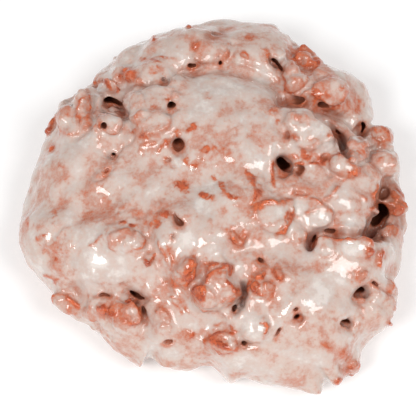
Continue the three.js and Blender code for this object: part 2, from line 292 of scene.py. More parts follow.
# Raised lumps of dough: rise in millimetres, redness of the rim, bareness of the body, outline in pixels
LUMPS = {
    "front nugget": (2.8, 0.5, 0.22, (
        (204, 262), (213, 263), (221, 264), (229, 266), (230, 270), (228, 277), (230, 283),
        (236, 289), (239, 295), (236, 301), (227, 307), (214, 311), (204, 308), (197, 302),
        (194, 295), (195, 290), (200, 287), (206, 284), (206, 277), (207, 269))),
    "leaf nugget": (2.0, 0.5, 0.35, (
        (195, 256), (196, 263), (195, 271), (190, 281), (184, 291), (180, 288), (174, 284),
        (171, 277), (173, 268), (180, 266), (186, 259))),
    "pool nugget": (1.4, 0.3, 0.1, (
        (110, 236), (118, 231), (130, 230), (140, 235), (147, 244), (143, 250), (132, 252),
        (122, 257), (115, 253), (110, 246))),
    "chip nugget": (1.7, 0.75, 0.25, (
        (141, 257), (147, 252), (155, 252), (157, 255), (154, 259), (150, 261), (149, 265),
        (145, 265), (142, 262))),
    "notched nugget": (1.6, 0.95, 0.1, (
        (226, 232), (234, 229), (239, 235), (241, 237), (245, 233), (247, 236), (244, 242),
        (242, 247), (238, 248), (233, 245), (231, 240))),
    "shelf nugget": (1.5, 0.1, 0.0, (
        (250, 209), (253, 216), (259, 224), (266, 230), (274, 234), (284, 237), (288, 230),
        (291, 222), (293, 214), (296, 206), (297, 199), (286, 201), (273, 202), (262, 201),
        (255, 203))),
    "red bead": (1.8, 0.9, 0.6, (
        (251, 279), (251, 275), (256, 272), (261, 270), (266, 272), (267, 275), (264, 278),
        (263, 282), (259, 282), (254, 280))),
    "hooked bead": (1.8, 0.9, 0.2, (
        (273, 270), (277, 267), (282, 270), (284, 275), (283, 280), (279, 281), (275, 277))),
    "small ring": (1.2, 0.8, 0.1, (
        (252, 284), (257, 283), (261, 287), (260, 292), (256, 294), (253, 290))),
    "pale chip": (1.5, 0.5, 0.15, (
        (262, 285), (269, 282), (275, 286), (274, 292), (270, 298), (263, 296), (261, 290))),
    "ring nugget": (1.8, 0.9, 0.15, (
        (156, 311), (158, 306), (163, 305), (167, 309), (171, 316), (171, 321), (166, 321),
        (161, 316))),
    "low lobe": (1.6, 0.4, 0.0, (
        (155, 326), (158, 320), (165, 320), (171, 325), (172, 332), (167, 336), (160, 335),
        (156, 331))),
    "peg nugget": (1.2, 0.6, 0.35, (
        (287, 69), (291, 65), (296, 66), (299, 71), (304, 76), (307, 82), (305, 88), (299, 91),
        (292, 94), (285, 93), (287, 87), (288, 82), (284, 79), (282, 75))),
    "far wedge": (1.2, 0.9, 0.8, (
        (292, 60), (297, 53), (302, 50), (310, 57), (318, 64), (318, 70), (310, 68), (303, 68),
        (296, 65))),
    "far bare nugget": (2.6, 1.0, 0.85, (
        (117, 77), (122, 72), (128, 69), (134, 70), (137, 76), (142, 82), (140, 86), (132, 84),
        (124, 81))),
    "slit nugget": (2.2, 0.7, 0.55, (
        (104, 84), (111, 82), (119, 84), (123, 89), (120, 95), (112, 95), (106, 91))),
    "left tall nugget": (1.0, 0.75, 0.3, (
        (77, 108), (80, 101), (84, 96), (89, 97), (91, 103), (90, 112), (90, 122), (90, 128),
        (86, 130), (82, 128), (79, 120), (77, 114))),
    "left lump": (0.8, 0.4, 0.25, (
        (57, 117), (62, 110), (70, 108), (77, 112), (78, 121), (80, 129), (75, 136), (66, 136),
        (60, 131), (57, 124))),
    "slit lobe": (1.0, 0.3, 0.05, (
        (101, 117), (107, 114), (115, 115), (121, 120), (121, 127), (116, 133), (107, 133),
        (101, 128), (100, 122))),
    "crown shoulder": (2.0, 0.2, 0.1, (
        (121, 99), (127, 93), (136, 92), (145, 97), (148, 107), (143, 117), (135, 124), (129, 120),
        (124, 114), (121, 107))),
    "shoulder lobe": (1.5, 0.3, 0.15, (
        (136, 118), (145, 110), (156, 108), (166, 111), (172, 118), (170, 128), (160, 135),
        (146, 137), (137, 131))),
    "pore cap": (1.2, 0.7, 0.3, (
        (164, 99), (170, 96), (173, 91), (178, 91), (182, 95), (178, 98), (171, 102), (166, 102))),
    "far lobe": (2.2, 0.3, 0.1, (
        (192, 46), (197, 41), (207, 39), (220, 40), (229, 41), (232, 47), (230, 55), (225, 61),
        (214, 65), (203, 66), (194, 60), (191, 53))),
    "far chip": (1.0, 0.9, 0.7, ((191, 46), (193, 42), (197, 42), (199, 44), (195, 49), (192, 49))),
    "right shoulder": (1.0, 0.55, 0.35, (
        (313, 88), (318, 80), (328, 77), (338, 79), (345, 86), (347, 92), (343, 100), (338, 107),
        (330, 105), (322, 101), (315, 99))),
    "right crown": (3.2, 0.1, 0.0, (
        (283, 113), (292, 109), (303, 112), (312, 117), (322, 122), (331, 130), (334, 141),
        (331, 152), (321, 155), (310, 153), (300, 150), (292, 144), (286, 135), (282, 124))),
    "peach nugget": (0.8, 0.2, 0.4, (
        (346, 147), (349, 142), (355, 140), (363, 140), (368, 142), (369, 150), (368, 158),
        (364, 162), (357, 161), (350, 157), (346, 152))),
    "twin nugget": (0.8, 0.3, 0.3, (
        (330, 161), (336, 156), (344, 156), (351, 160), (358, 164), (361, 169), (359, 175),
        (351, 177), (343, 177), (336, 174), (331, 169))),
    "edge nugget": (0.8, 0.6, 0.5, (
        (369, 135), (373, 128), (380, 126), (388, 129), (392, 136), (390, 143), (385, 147),
        (376, 146), (370, 142))),
    "right boss": (0.6, 0.2, 0.25, (
        (369, 160), (373, 154), (380, 151), (389, 153), (396, 160), (399, 168), (396, 177),
        (388, 179), (378, 179), (370, 174), (367, 167))),
    "cavern shelf": (0.8, 0.7, 0.4, (
        (383, 205), (389, 202), (398, 203), (404, 205), (405, 212), (398, 216), (390, 214),
        (384, 210))),
    "cavern wall": (1.2, 0.7, 0.5, (
        (391, 188), (396, 190), (401, 198), (402, 203), (395, 202), (391, 195))),
    "cavern lump": (0.8, 0.5, 0.2, (
        (377, 228), (381, 223), (387, 222), (391, 226), (391, 234), (387, 239), (380, 239),
        (375, 234))),
    "cavern knob": (0.6, 0.6, 0.3, (
        (391, 226), (396, 224), (400, 229), (399, 235), (394, 236), (391, 232))),
    "cavern flap": (2.4, 0.6, 0.1, (
        (368, 208), (374, 206), (379, 209), (381, 214), (378, 217), (372, 216), (368, 213))),
    "left ledge lobe": (0.8, 0.3, 0.0, (
        (312, 248), (315, 240), (321, 236), (330, 237), (337, 242), (338, 251), (333, 258),
        (322, 259), (314, 255))),
    "right ledge lobe": (1.0, 0.45, 0.05, (
        (339, 242), (347, 236), (358, 237), (366, 240), (372, 246), (371, 253), (366, 260),
        (356, 261), (345, 258), (339, 251))),
    "ledge bead": (1.2, 0.9, 0.5, (
        (363, 250), (366, 247), (371, 249), (372, 254), (368, 259), (364, 259))),
    "hot streak": (1.0, 1.0, 1.0, (
        (378, 251), (383, 250), (385, 254), (382, 260), (380, 267), (377, 266), (376, 261))),
    "lower knob": (1.8, 0.7, 0.3, (
        (357, 275), (358, 271), (363, 269), (367, 272), (367, 277), (363, 281), (359, 280))),
    "hip nugget": (1.2, 0.5, 0.15, (
        (54, 298), (57, 292), (63, 292), (70, 297), (77, 303), (79, 310), (76, 316), (68, 314),
        (61, 308), (56, 303))),
    "skirt bead": (1.5, 0.9, 0.4, (
        (99, 308), (103, 305), (107, 308), (107, 313), (103, 315), (100, 313))),
    "skirt bean": (1.7, 0.9, 0.5, (
        (109, 307), (113, 304), (118, 308), (118, 315), (114, 317), (110, 313))),
    "skirt nugget": (2.4, 0.8, 0.25, (
        (121, 309), (125, 304), (133, 304), (138, 309), (140, 317), (137, 322), (130, 322),
        (124, 318))),
    "crevice bead": (1.4, 0.4, 0.1, ((236, 281), (239, 279), (243, 281), (242, 285), (238, 286))),
    "crevice drop": (1.4, 0.4, 0.1, ((241, 293), (245, 292), (248, 296), (245, 300), (241, 299))),
    "apron nugget": (2.2, 0.85, 0.4, (
        (205, 342), (209, 336), (217, 333), (224, 330), (233, 333), (239, 341), (237, 350),
        (230, 354), (221, 353), (216, 347), (208, 346))),
    "apron lobe": (2.2, 0.15, 0.0, (
        (240, 330), (243, 320), (250, 312), (260, 311), (267, 317), (270, 326), (268, 336),
        (260, 342), (250, 342), (243, 338))),
    "orange cap": (1.0, 0.5, 0.45, (
        (267, 111), (270, 108), (276, 107), (281, 111), (280, 117), (274, 119), (269, 116))),
    "white facet": (1.0, 0.2, 0.0, (
        (307, 214), (313, 210), (323, 210), (331, 213), (331, 222), (325, 228), (316, 230),
        (309, 226))),
    "right pebble": (1.6, 0.5, 0.1, (
        (291, 232), (296, 228), (303, 229), (307, 234), (306, 241), (299, 243), (293, 240))),
    "right knob": (2.0, 0.35, 0.05, (
        (330, 203), (334, 198), (343, 197), (352, 199), (358, 205), (357, 212), (350, 216),
        (340, 214), (333, 210))),
    "edge chip": (1.4, 0.8, 0.7, (
        (386, 282), (389, 281), (393, 290), (391, 295), (388, 292), (386, 287))),
    "edge bead": (1.8, 0.9, 0.8, ((389, 306), (392, 304), (395, 307), (393, 310), (390, 310))),
    "low edge bead": (1.5, 0.8, 0.6, ((385, 321), (388, 319), (390, 322), (388, 326), (386, 325))),
    "rim crust": (1.6, 0.9, 0.6, (
        (349, 362), (355, 359), (359, 364), (358, 370), (352, 374), (345, 373), (347, 368))),
    "drip tip": (1.2, 0.9, 0.7, ((333, 381), (338, 377), (342, 378), (339, 383), (336, 385))),
    "left bead": (1.3, 0.9, 0.8, ((48, 149), (51, 145), (54, 147), (54, 150), (50, 152))),
    "left rim": (1.2, 0.9, 0.5, (
        (46, 132), (49, 125), (54, 119), (57, 117), (54, 125), (51, 133), (48, 136))),
    "far bead": (1.2, 0.8, 0.5, ((185, 27), (189, 25), (194, 27), (192, 29), (187, 29))),
    "crumb": (1.8, 1.0, 1.0, ((151, 40), (154, 37), (157, 39), (155, 41), (153, 42))),
    "back bead": (1.5, 0.9, 0.8, ((94, 81), (97, 79), (98, 83), (96, 85))),
    "seam crust": (0.9, 0.9, 0.7, ((322, 342), (329, 346), (334, 350), (330, 351), (325, 347))),
    "seam chip": (0.9, 0.9, 0.8, ((340, 350), (346, 351), (350, 356), (347, 360), (342, 355))),
    "hook": (1.1, 0.9, 0.4, ((187, 331), (191, 330), (194, 335), (190, 339), (187, 338))),
}

# Air holes and pockets: depth in millimetres, outline in pixels
HOLES = {
    "left slit": (13.0, (
        (101, 108), (102, 103), (107, 100), (114, 102), (120, 105), (124, 110), (127, 116),
        (124, 118), (118, 113), (112, 111), (104, 110))),
    "left pore": (5.0, ((100, 133), (100, 126), (104, 123), (108, 126), (107, 133))),
    "crown pore": (8.0, (
        (166, 110), (167, 106), (170, 104), (175, 105), (178, 108), (175, 111), (171, 114),
        (167, 113))),
    "seam pore": (7.0, (
        (111, 157), (112, 154), (115, 154), (117, 156), (116, 160), (113, 161), (111, 159))),
    "left nook": (2.4, ((103, 177), (103, 172), (107, 169), (110, 168), (110, 172), (107, 176))),
    "amber hollow": (7.0, (
        (171, 147), (173, 142), (178, 140), (183, 141), (186, 146), (185, 152), (181, 155),
        (178, 157), (174, 155), (172, 151))),
    "amber dimple": (1.6, ((163, 161), (166, 158), (171, 158), (173, 161), (170, 165), (166, 165))),
    "small dimple": (1.4, ((170, 167), (172, 164), (176, 166), (175, 170), (171, 170))),
    "right cave": (8.0, (
        (275, 163), (277, 159), (280, 157), (284, 160), (288, 164), (292, 167), (291, 171),
        (287, 174), (283, 177), (279, 174), (276, 168))),
    "brown bubble": (3.0, (
        (292, 169), (296, 166), (302, 166), (306, 168), (307, 171), (304, 175), (301, 179),
        (296, 178), (293, 174))),
    "back slit": (3.5, (
        (269, 60), (273, 58), (277, 61), (281, 66), (285, 71), (283, 73), (278, 69), (274, 64),
        (270, 62))),
    "back pore": (3.0, ((276, 81), (278, 78), (281, 80), (281, 84), (278, 83))),
    "far pore": (4.0, ((218, 67), (218, 63), (221, 61), (223, 63), (222, 68), (219, 69))),
    "far hollow": (3.5, ((208, 35), (213, 32), (220, 31), (226, 33), (228, 38), (221, 39), (212, 38))),
    "crown pocket": (3.5, (
        (186, 67), (188, 64), (194, 65), (199, 65), (196, 70), (191, 71), (187, 69))),
    "crown nook": (3.5, ((160, 81), (162, 78), (166, 79), (168, 81), (165, 85), (161, 84))),
    "shadow hollow": (3.0, (
        (279, 102), (283, 98), (290, 96), (298, 97), (306, 98), (309, 102), (303, 107), (296, 108),
        (287, 105))),
    "brown crater": (2.0, (
        (283, 138), (284, 133), (288, 131), (291, 134), (291, 141), (287, 143), (284, 141))),
    "lip shadow": (2.6, (
        (318, 160), (321, 155), (328, 154), (333, 157), (330, 162), (323, 165), (318, 164))),
    "back cleft": (5.0, (
        (360, 123), (364, 122), (367, 128), (364, 134), (362, 139), (357, 138), (361, 134),
        (362, 129))),
    "upper cavern": (2.5, (
        (377, 198), (379, 190), (384, 186), (390, 188), (392, 195), (388, 201), (381, 203))),
    "lower cavern": (9.0, (
        (376, 203), (384, 204), (389, 210), (390, 217), (384, 224), (379, 231), (372, 235),
        (368, 229), (368, 220), (374, 216), (379, 211))),
    "cavern foot": (3.0, (
        (372, 233), (376, 235), (382, 238), (388, 239), (383, 242), (376, 240), (372, 237))),
    "lower pore": (10.0, (
        (352, 298), (354, 294), (358, 290), (364, 290), (366, 294), (366, 300), (362, 304),
        (357, 303), (353, 301))),
    "lower notch": (2.0, (
        (368, 283), (372, 280), (377, 284), (383, 288), (389, 292), (388, 295), (380, 290),
        (373, 286))),
    "skirt pore": (8.0, (
        (339, 325), (341, 321), (346, 321), (351, 325), (354, 330), (350, 332), (343, 330),
        (340, 328))),
    "pin pore": (2.5, ((333, 319), (334, 317), (337, 318), (337, 321), (334, 321))),
    "black pore": (7.0, (
        (292, 321), (294, 318), (298, 316), (301, 317), (300, 321), (297, 324), (293, 323))),
    "amber pore": (2.4, ((292, 312), (294, 309), (298, 307), (300, 310), (297, 314), (293, 315))),
    "wedge pocket": (6.0, (
        (127, 291), (132, 292), (139, 295), (143, 299), (149, 299), (146, 302), (139, 304),
        (133, 302), (130, 297))),
    "wedge tail": (2.2, (
        (140, 304), (144, 305), (147, 312), (149, 319), (147, 326), (143, 324), (141, 315))),
    "crevice pore": (4.5, ((232, 306), (237, 306), (239, 309), (236, 313), (233, 318), (231, 314))),
    "bead slit": (4.0, ((256, 260), (258, 258), (263, 261), (267, 266), (264, 267), (258, 265))),
    "apron pocket": (3.0, ((240, 344), (243, 341), (248, 343), (249, 346), (244, 349), (241, 347))),
    "apron slit": (2.2, (
        (272, 341), (274, 337), (277, 331), (280, 327), (283, 326), (283, 329), (280, 333),
        (277, 339), (274, 343))),
    "orange pit": (1.6, ((170, 240), (170, 237), (174, 234), (179, 233), (178, 238), (174, 242))),
    "brown fold": (2.6, (
        (168, 210), (173, 212), (178, 218), (186, 225), (186, 229), (178, 230), (174, 224),
        (172, 216))),
    "skirt crescent": (1.8, ((160, 344), (166, 340), (176, 340), (175, 343), (168, 347), (161, 346))),
    "left dent": (1.5, ((42, 163), (44, 159), (47, 158), (47, 161), (44, 164))),
    "shoulder hollow": (2.4, (
        (315, 106), (318, 102), (324, 102), (330, 106), (332, 110), (325, 111), (318, 110))),
    "ledge shadow": (2.6, (
        (321, 233), (325, 229), (331, 229), (338, 230), (337, 234), (331, 237), (325, 235))),
    "ledge notch": (4.0, (
        (310, 246), (312, 240), (316, 233), (319, 232), (317, 238), (314, 246), (311, 248))),
    "right seam hole": (2.6, ((333, 129), (337, 130), (342, 135), (341, 139), (336, 135))),
    "peach shadow": (2.6, ((341, 143), (345, 145), (346, 151), (344, 155), (341, 150))),
    "rim hole": (2.0, ((387, 285), (389, 284), (390, 289), (388, 291), (386, 289))),
    "back edge nook": (2.5, ((97, 82), (101, 80), (105, 79), (105, 83), (99, 84))),
    "shelf line": (2.0, (
        (291, 193), (298, 192), (306, 193), (312, 195), (306, 198), (298, 197), (292, 197))),
    "left pit": (1.0, ((86, 183), (88, 180), (90, 182), (89, 185), (87, 185))),
    "left ledge fold": (2.2, (
        (95, 298), (101, 293), (108, 294), (114, 297), (112, 299), (104, 297), (98, 300))),
}

# Creases between lobes: depth in millimetres, half width in pixels, line of pixels
CREASES = {
    "back fold": (1.8, 4, (
        (121, 99), (133, 93), (139, 91), (146, 85), (152, 84), (160, 84), (166, 83), (170, 77),
        (183, 71), (195, 70), (204, 66))),
    "boss crease": (3.0, 4, ((368, 150), (376, 149), (388, 149), (398, 150))),
    "peach crease": (2.5, 4, ((346, 156), (352, 162), (360, 165), (368, 160), (370, 150))),
    "shoulder crease": (4.0, 8, (
        (309, 103), (320, 108), (334, 114), (346, 118), (354, 126), (362, 132))),
    "right seam": (4.5, 6, ((318, 114), (326, 122), (333, 129), (340, 137), (344, 146), (346, 154))),
    "shadow crease": (3.5, 7, ((280, 101), (292, 103), (306, 103))),
    "slit recess": (2.5, 9, ((97, 92), (108, 98), (118, 104), (126, 112))),
    "tall knob crease": (1.8, 4, ((93, 100), (94, 112), (94, 124), (88, 132), (76, 138))),
    "twin crease": (2.0, 4, ((316, 160), (326, 168), (330, 176))),
    "crevice groove": (3.6, 7, ((243, 284), (246, 294), (242, 304), (236, 312))),
    "cavern dent": (4.0, 12, ((388, 186), (385, 200), (380, 220), (374, 234))),
    "left seam": (1.4, 3, (
        (126, 116), (131, 123), (132, 130), (133, 137), (130, 143), (122, 147), (117, 154))),
    "lower left seam": (1.2, 3, ((114, 162), (110, 172), (103, 178), (95, 180), (92, 174))),
    "apron crease": (1.2, 3, ((246, 345), (256, 346), (264, 345), (272, 341))),
    "ledge fold": (5.0, 7, ((310, 247), (314, 237), (322, 232), (341, 233), (358, 235), (372, 230))),
    "right fold": (1.4, 3, ((371, 280), (380, 287), (390, 294))),
    "skirt fold": (0.9, 3, ((70, 288), (84, 300), (97, 317), (106, 328), (115, 340))),
    "far crease": (1.2, 3, (
        (232, 42), (233, 50), (229, 58), (240, 63), (254, 68), (266, 75), (281, 88))),
    "pool crease": (0.8, 3, ((148, 236), (152, 245), (150, 252), (158, 266), (166, 282), (170, 292))),
}

# Thin ridges: height in millimetres, half width in pixels, bareness, line of pixels
RIDGES = {
    "front ridge": (0.7, 2.5, 0.5, ((160, 240), (163, 247), (166, 255), (168, 262), (170, 269))),
    "pool edge": (0.6, 2.5, 0.6, ((168, 244), (169, 250), (173, 256), (174, 263), (172, 269))),
    "leaf ridge": (0.6, 2.5, 0.35, (
        (167, 270), (170, 280), (175, 290), (184, 303), (190, 312), (200, 320))),
    "shelf ridge": (0.6, 2.5, 0.8, ((277, 228), (281, 222), (284, 216), (287, 212))),
    "cave ridge": (0.5, 2.5, 0.7, ((273, 162), (271, 170), (272, 178), (275, 187))),
    "lobe ridge": (0.5, 2.5, 0.3, ((140, 152), (141, 145), (150, 143), (156, 142))),
    "hollow ridge": (0.7, 2.5, 0.7, ((158, 151), (162, 146), (166, 140))),
    "shoulder ridge": (0.5, 2.5, 0.5, ((338, 89), (347, 91), (343, 100), (339, 108))),
    "belly ridge": (0.7, 2.5, 0.5, ((90, 245), (95, 244), (98, 240), (103, 236))),
    "hip ridge": (0.8, 3.0, 0.7, ((47, 275), (52, 276), (57, 279), (56, 282))),
    "flank ridge": (0.6, 2.5, 0.4, ((325, 200), (332, 194), (338, 189), (342, 182), (348, 177))),
    "second flank ridge": (0.6, 2.5, 0.4, ((300, 197), (312, 199), (322, 205), (330, 212))),
    "third flank ridge": (0.6, 2.5, 0.35, ((336, 190), (346, 188), (356, 193), (364, 200))),
    "facet edge": (0.5, 2.0, 0.25, ((307, 213), (318, 208), (330, 210), (334, 222))),
    "second facet edge": (0.5, 2.0, 0.25, ((329, 206), (336, 197), (350, 197), (360, 206), (356, 214))),
    "run streak": (0.3, 3.0, 0.0, ((300, 305), (318, 292), (336, 278), (350, 268))),
    "second run streak": (0.3, 3.0, 0.0, ((296, 296), (312, 283), (330, 270))),
    "front nugget top": (1.0, 3.0, 1.0, ((204, 263), (214, 264), (224, 266), (230, 268), (229, 276))),
    "front nugget streak": (0.7, 2.5, 1.0, ((208, 285), (212, 278), (218, 272), (223, 270))),
    "front nugget side": (0.9, 3.0, 1.0, ((227, 283), (232, 289), (237, 295), (236, 299))),
    "front nugget cheek": (0.8, 3.5, 0.9, ((196, 292), (200, 289), (206, 291), (204, 297), (198, 297))),
    "leaf edge": (1.0, 2.5, 1.0, ((194, 256), (194, 265), (189, 279), (184, 288))),
    "leaf vein": (0.6, 3.0, 0.9, ((176, 283), (182, 276), (187, 268), (191, 261))),
    "leaf foot": (0.4, 2.0, 0.9, ((172, 277), (175, 285), (181, 288))),
    "notched line": (0.7, 2.0, 1.0, (
        (226, 230), (232, 237), (238, 245), (241, 246), (244, 238), (247, 233))),
    "bead slit line": (0.5, 2.0, 0.9, ((264, 265), (270, 269), (275, 273))),
    "chip line": (0.5, 2.0, 0.9, ((254, 286), (258, 293), (264, 297), (271, 298), (274, 290))),
    "stripe": (0.5, 2.0, 0.7, ((171, 297), (178, 299), (186, 308), (189, 314))),
    "second stripe": (0.4, 2.0, 0.6, ((172, 302), (178, 307), (182, 314))),
    "apron band": (0.8, 3.0, 1.0, ((205, 340), (213, 339), (221, 342), (230, 347), (237, 350))),
    "apron fold": (0.6, 2.5, 0.7, ((216, 325), (224, 322), (231, 325), (235, 332))),
    "lobe mark line": (0.5, 2.0, 1.0, ((260, 323), (266, 323), (268, 327), (265, 333))),
    "shelf band": (0.7, 3.0, 0.8, ((260, 203), (270, 203), (280, 203), (293, 200))),
    "shelf fold": (0.7, 2.5, 0.9, ((293, 210), (291, 218), (287, 227), (283, 234), (275, 234))),
    "cave lip": (0.6, 2.0, 0.8, ((291, 166), (299, 163), (308, 165), (317, 163), (325, 158))),
    "twin edge": (0.6, 2.5, 0.9, ((331, 162), (334, 157), (342, 155), (349, 158))),
    "twin side": (0.6, 3.0, 0.9, ((349, 172), (355, 172), (359, 168))),
    "peach side": (0.4, 2.5, 0.6, ((367, 146), (367, 154), (362, 160))),
    "ledge lip": (0.8, 2.5, 0.9, (
        (320, 238), (329, 238), (340, 239), (352, 238), (364, 241), (370, 246))),
    "cavern lip": (1.0, 2.5, 0.9, ((377, 186), (374, 195), (377, 204), (380, 212), (376, 217))),
    "peg edge": (0.6, 2.5, 0.9, ((283, 76), (288, 83), (286, 92), (295, 93))),
    "shoulder net": (0.5, 2.0, 0.8, ((313, 92), (317, 100), (316, 108))),
    "skirt curl": (0.7, 2.5, 1.0, ((99, 309), (104, 306), (108, 311), (113, 315), (117, 312))),
    "wedge curl": (0.7, 2.5, 0.8, ((122, 310), (128, 305), (136, 307), (140, 316))),
    "hip curl": (0.7, 2.5, 0.9, ((56, 296), (62, 294), (70, 299), (77, 307))),
    "pool net": (0.5, 2.0, 0.8, (
        (111, 247), (117, 253), (124, 255), (131, 251), (141, 248), (146, 242))),
    "chip net": (0.5, 2.0, 0.9, ((141, 258), (146, 263), (152, 259), (156, 254))),
}

# Craggy stretches: pixel across and down, radius in pixels, roughness
ROUGH_PLACES = {
    "right side": (352, 165, 48, 0.28),
    "right cavern": (385, 225, 32, 0.4),
    "right middle": (312, 205, 38, 0.5),
    "shelf": (268, 205, 30, 0.45),
    "front": (215, 285, 45, 0.5),
    "beads": (265, 278, 25, 0.5),
    "left top": (92, 105, 36, 0.7),
    "left pocket": (115, 305, 36, 0.7),
    "back right": (300, 75, 32, 0.7),
    "far edge": (150, 75, 40, 0.35),
    "apron": (220, 340, 26, 0.5),
    "middle left": (140, 235, 40, 0.45),
    "hip": (55, 250, 28, 0.45),
    "lower right rim": (385, 300, 22, 0.5),
}

# Pools and runs of thick glaze: pixel across and down, half sizes, turn in degrees, extra cover; the
# thickest get a painted sheen
THICK_PLACES = {
    "right run": (325, 287, 33, 13, 42, 0.45),
    "ledge pool": (350, 249, 13, 8, 0, 0.4),
    "apron lobe": (253, 327, 13, 13, 0, 0.25),
    "left pool": (112, 264, 27, 15, 0, 0.4),
    "middle pool": (186, 240, 12, 16, -20, 0.4),
    "white facet": (318, 219, 11, 8, 0, 0.5),
    "shelf top": (270, 214, 14, 8, 10, 0.4),
    "star pool": (203, 207, 10, 7, -20, 0.4),
    "crown pool": (205, 96, 36, 16, 0, 0.15),
    "left lobe": (74, 156, 15, 18, 0, 0.2),
    "front skirt": (225, 363, 60, 9, -6, 0.05),
    "right skirt": (295, 368, 40, 14, -10, 0.08),
    "left skirt": (122, 336, 32, 8, -32, 0.12),
    "shoulder top": (333, 89, 7, 6, 0, 0.15),
    "right crown top": (305, 128, 15, 11, -25, 0.15),
    "slit lobe top": (110, 120, 7, 7, 0, 0.2),
    "left lump top": (68, 122, 8, 9, 0, 0.15),
    "boss top": (386, 165, 7, 8, 0, 0.2),
    "second facet": (344, 204, 14, 7, -10, 0.5),
    "third facet": (300, 207, 8, 6, 20, 0.4),
    "flank": (352, 190, 17, 9, 30, 0.2),
    "low flank": (352, 220, 14, 7, 0, 0.25),
    "cave side": (318, 178, 16, 8, 20, 0.1),
    "lip glaze": (326, 147, 10, 5, 25, 0.4),
    "cave glaze": (276, 150, 5, 8, 0, 0.35),
    "twin top": (341, 164, 8, 6, 0, 0.1),
    "front glaze": (208, 322, 22, 7, 0, 0.2),
    "front left glaze": (184, 320, 14, 7, -35, 0.15),
    "front top glaze": (216, 251, 18, 6, 0, 0.18),
    "left low glaze": (86, 282, 15, 8, -30, 0.2),
    "hip glaze": (80, 262, 12, 8, 0, 0.15),
}

# Painted shade, brown glaze where folds lie in shadow: pixel across and down, half sizes, turn in
# degrees, strength
SHADY_PLACES = {
    "ledge band": (345, 232, 27, 4, 0, 0.8),
    "ledge notch": (314, 240, 4, 9, -25, 0.7),
    "shadow hollow": (294, 102, 17, 6, 0, 0.8),
    "shoulder foot": (330, 112, 16, 5, -25, 0.7),
    "right seam": (338, 136, 5, 12, 25, 0.8),
    "back cleft": (362, 130, 6, 11, 0, 0.8),
    "slit wall": (112, 99, 15, 9, -20, 0.6),
    "back fold": (150, 85, 26, 4, 12, 0.5),
    "far hollow": (215, 35, 14, 5, 0, 0.7),
    "crown nook": (190, 68, 12, 4, 10, 0.5),
    "back slit": (276, 66, 12, 6, -45, 0.6),
    "wedge": (140, 300, 14, 8, -30, 0.6),
    "wedge tail": (143, 315, 5, 12, 15, 0.6),
    "crevice": (243, 294, 6, 12, 10, 0.65),
    "apron pocket": (243, 344, 9, 5, 0, 0.7),
    "cavern": (388, 202, 16, 22, 0, 1.0),
    "cavern side": (396, 222, 9, 14, 0, 0.6),
    "cavern foot": (380, 239, 12, 4, 0, 0.7),
    "brown fold": (176, 221, 6, 12, 40, 0.6),
    "bead slit": (261, 263, 7, 5, -40, 0.5),
    "amber hollow": (178, 149, 8, 9, 0, 0.5),
    "lower left fold": (104, 296, 12, 4, 0, 0.5),
}

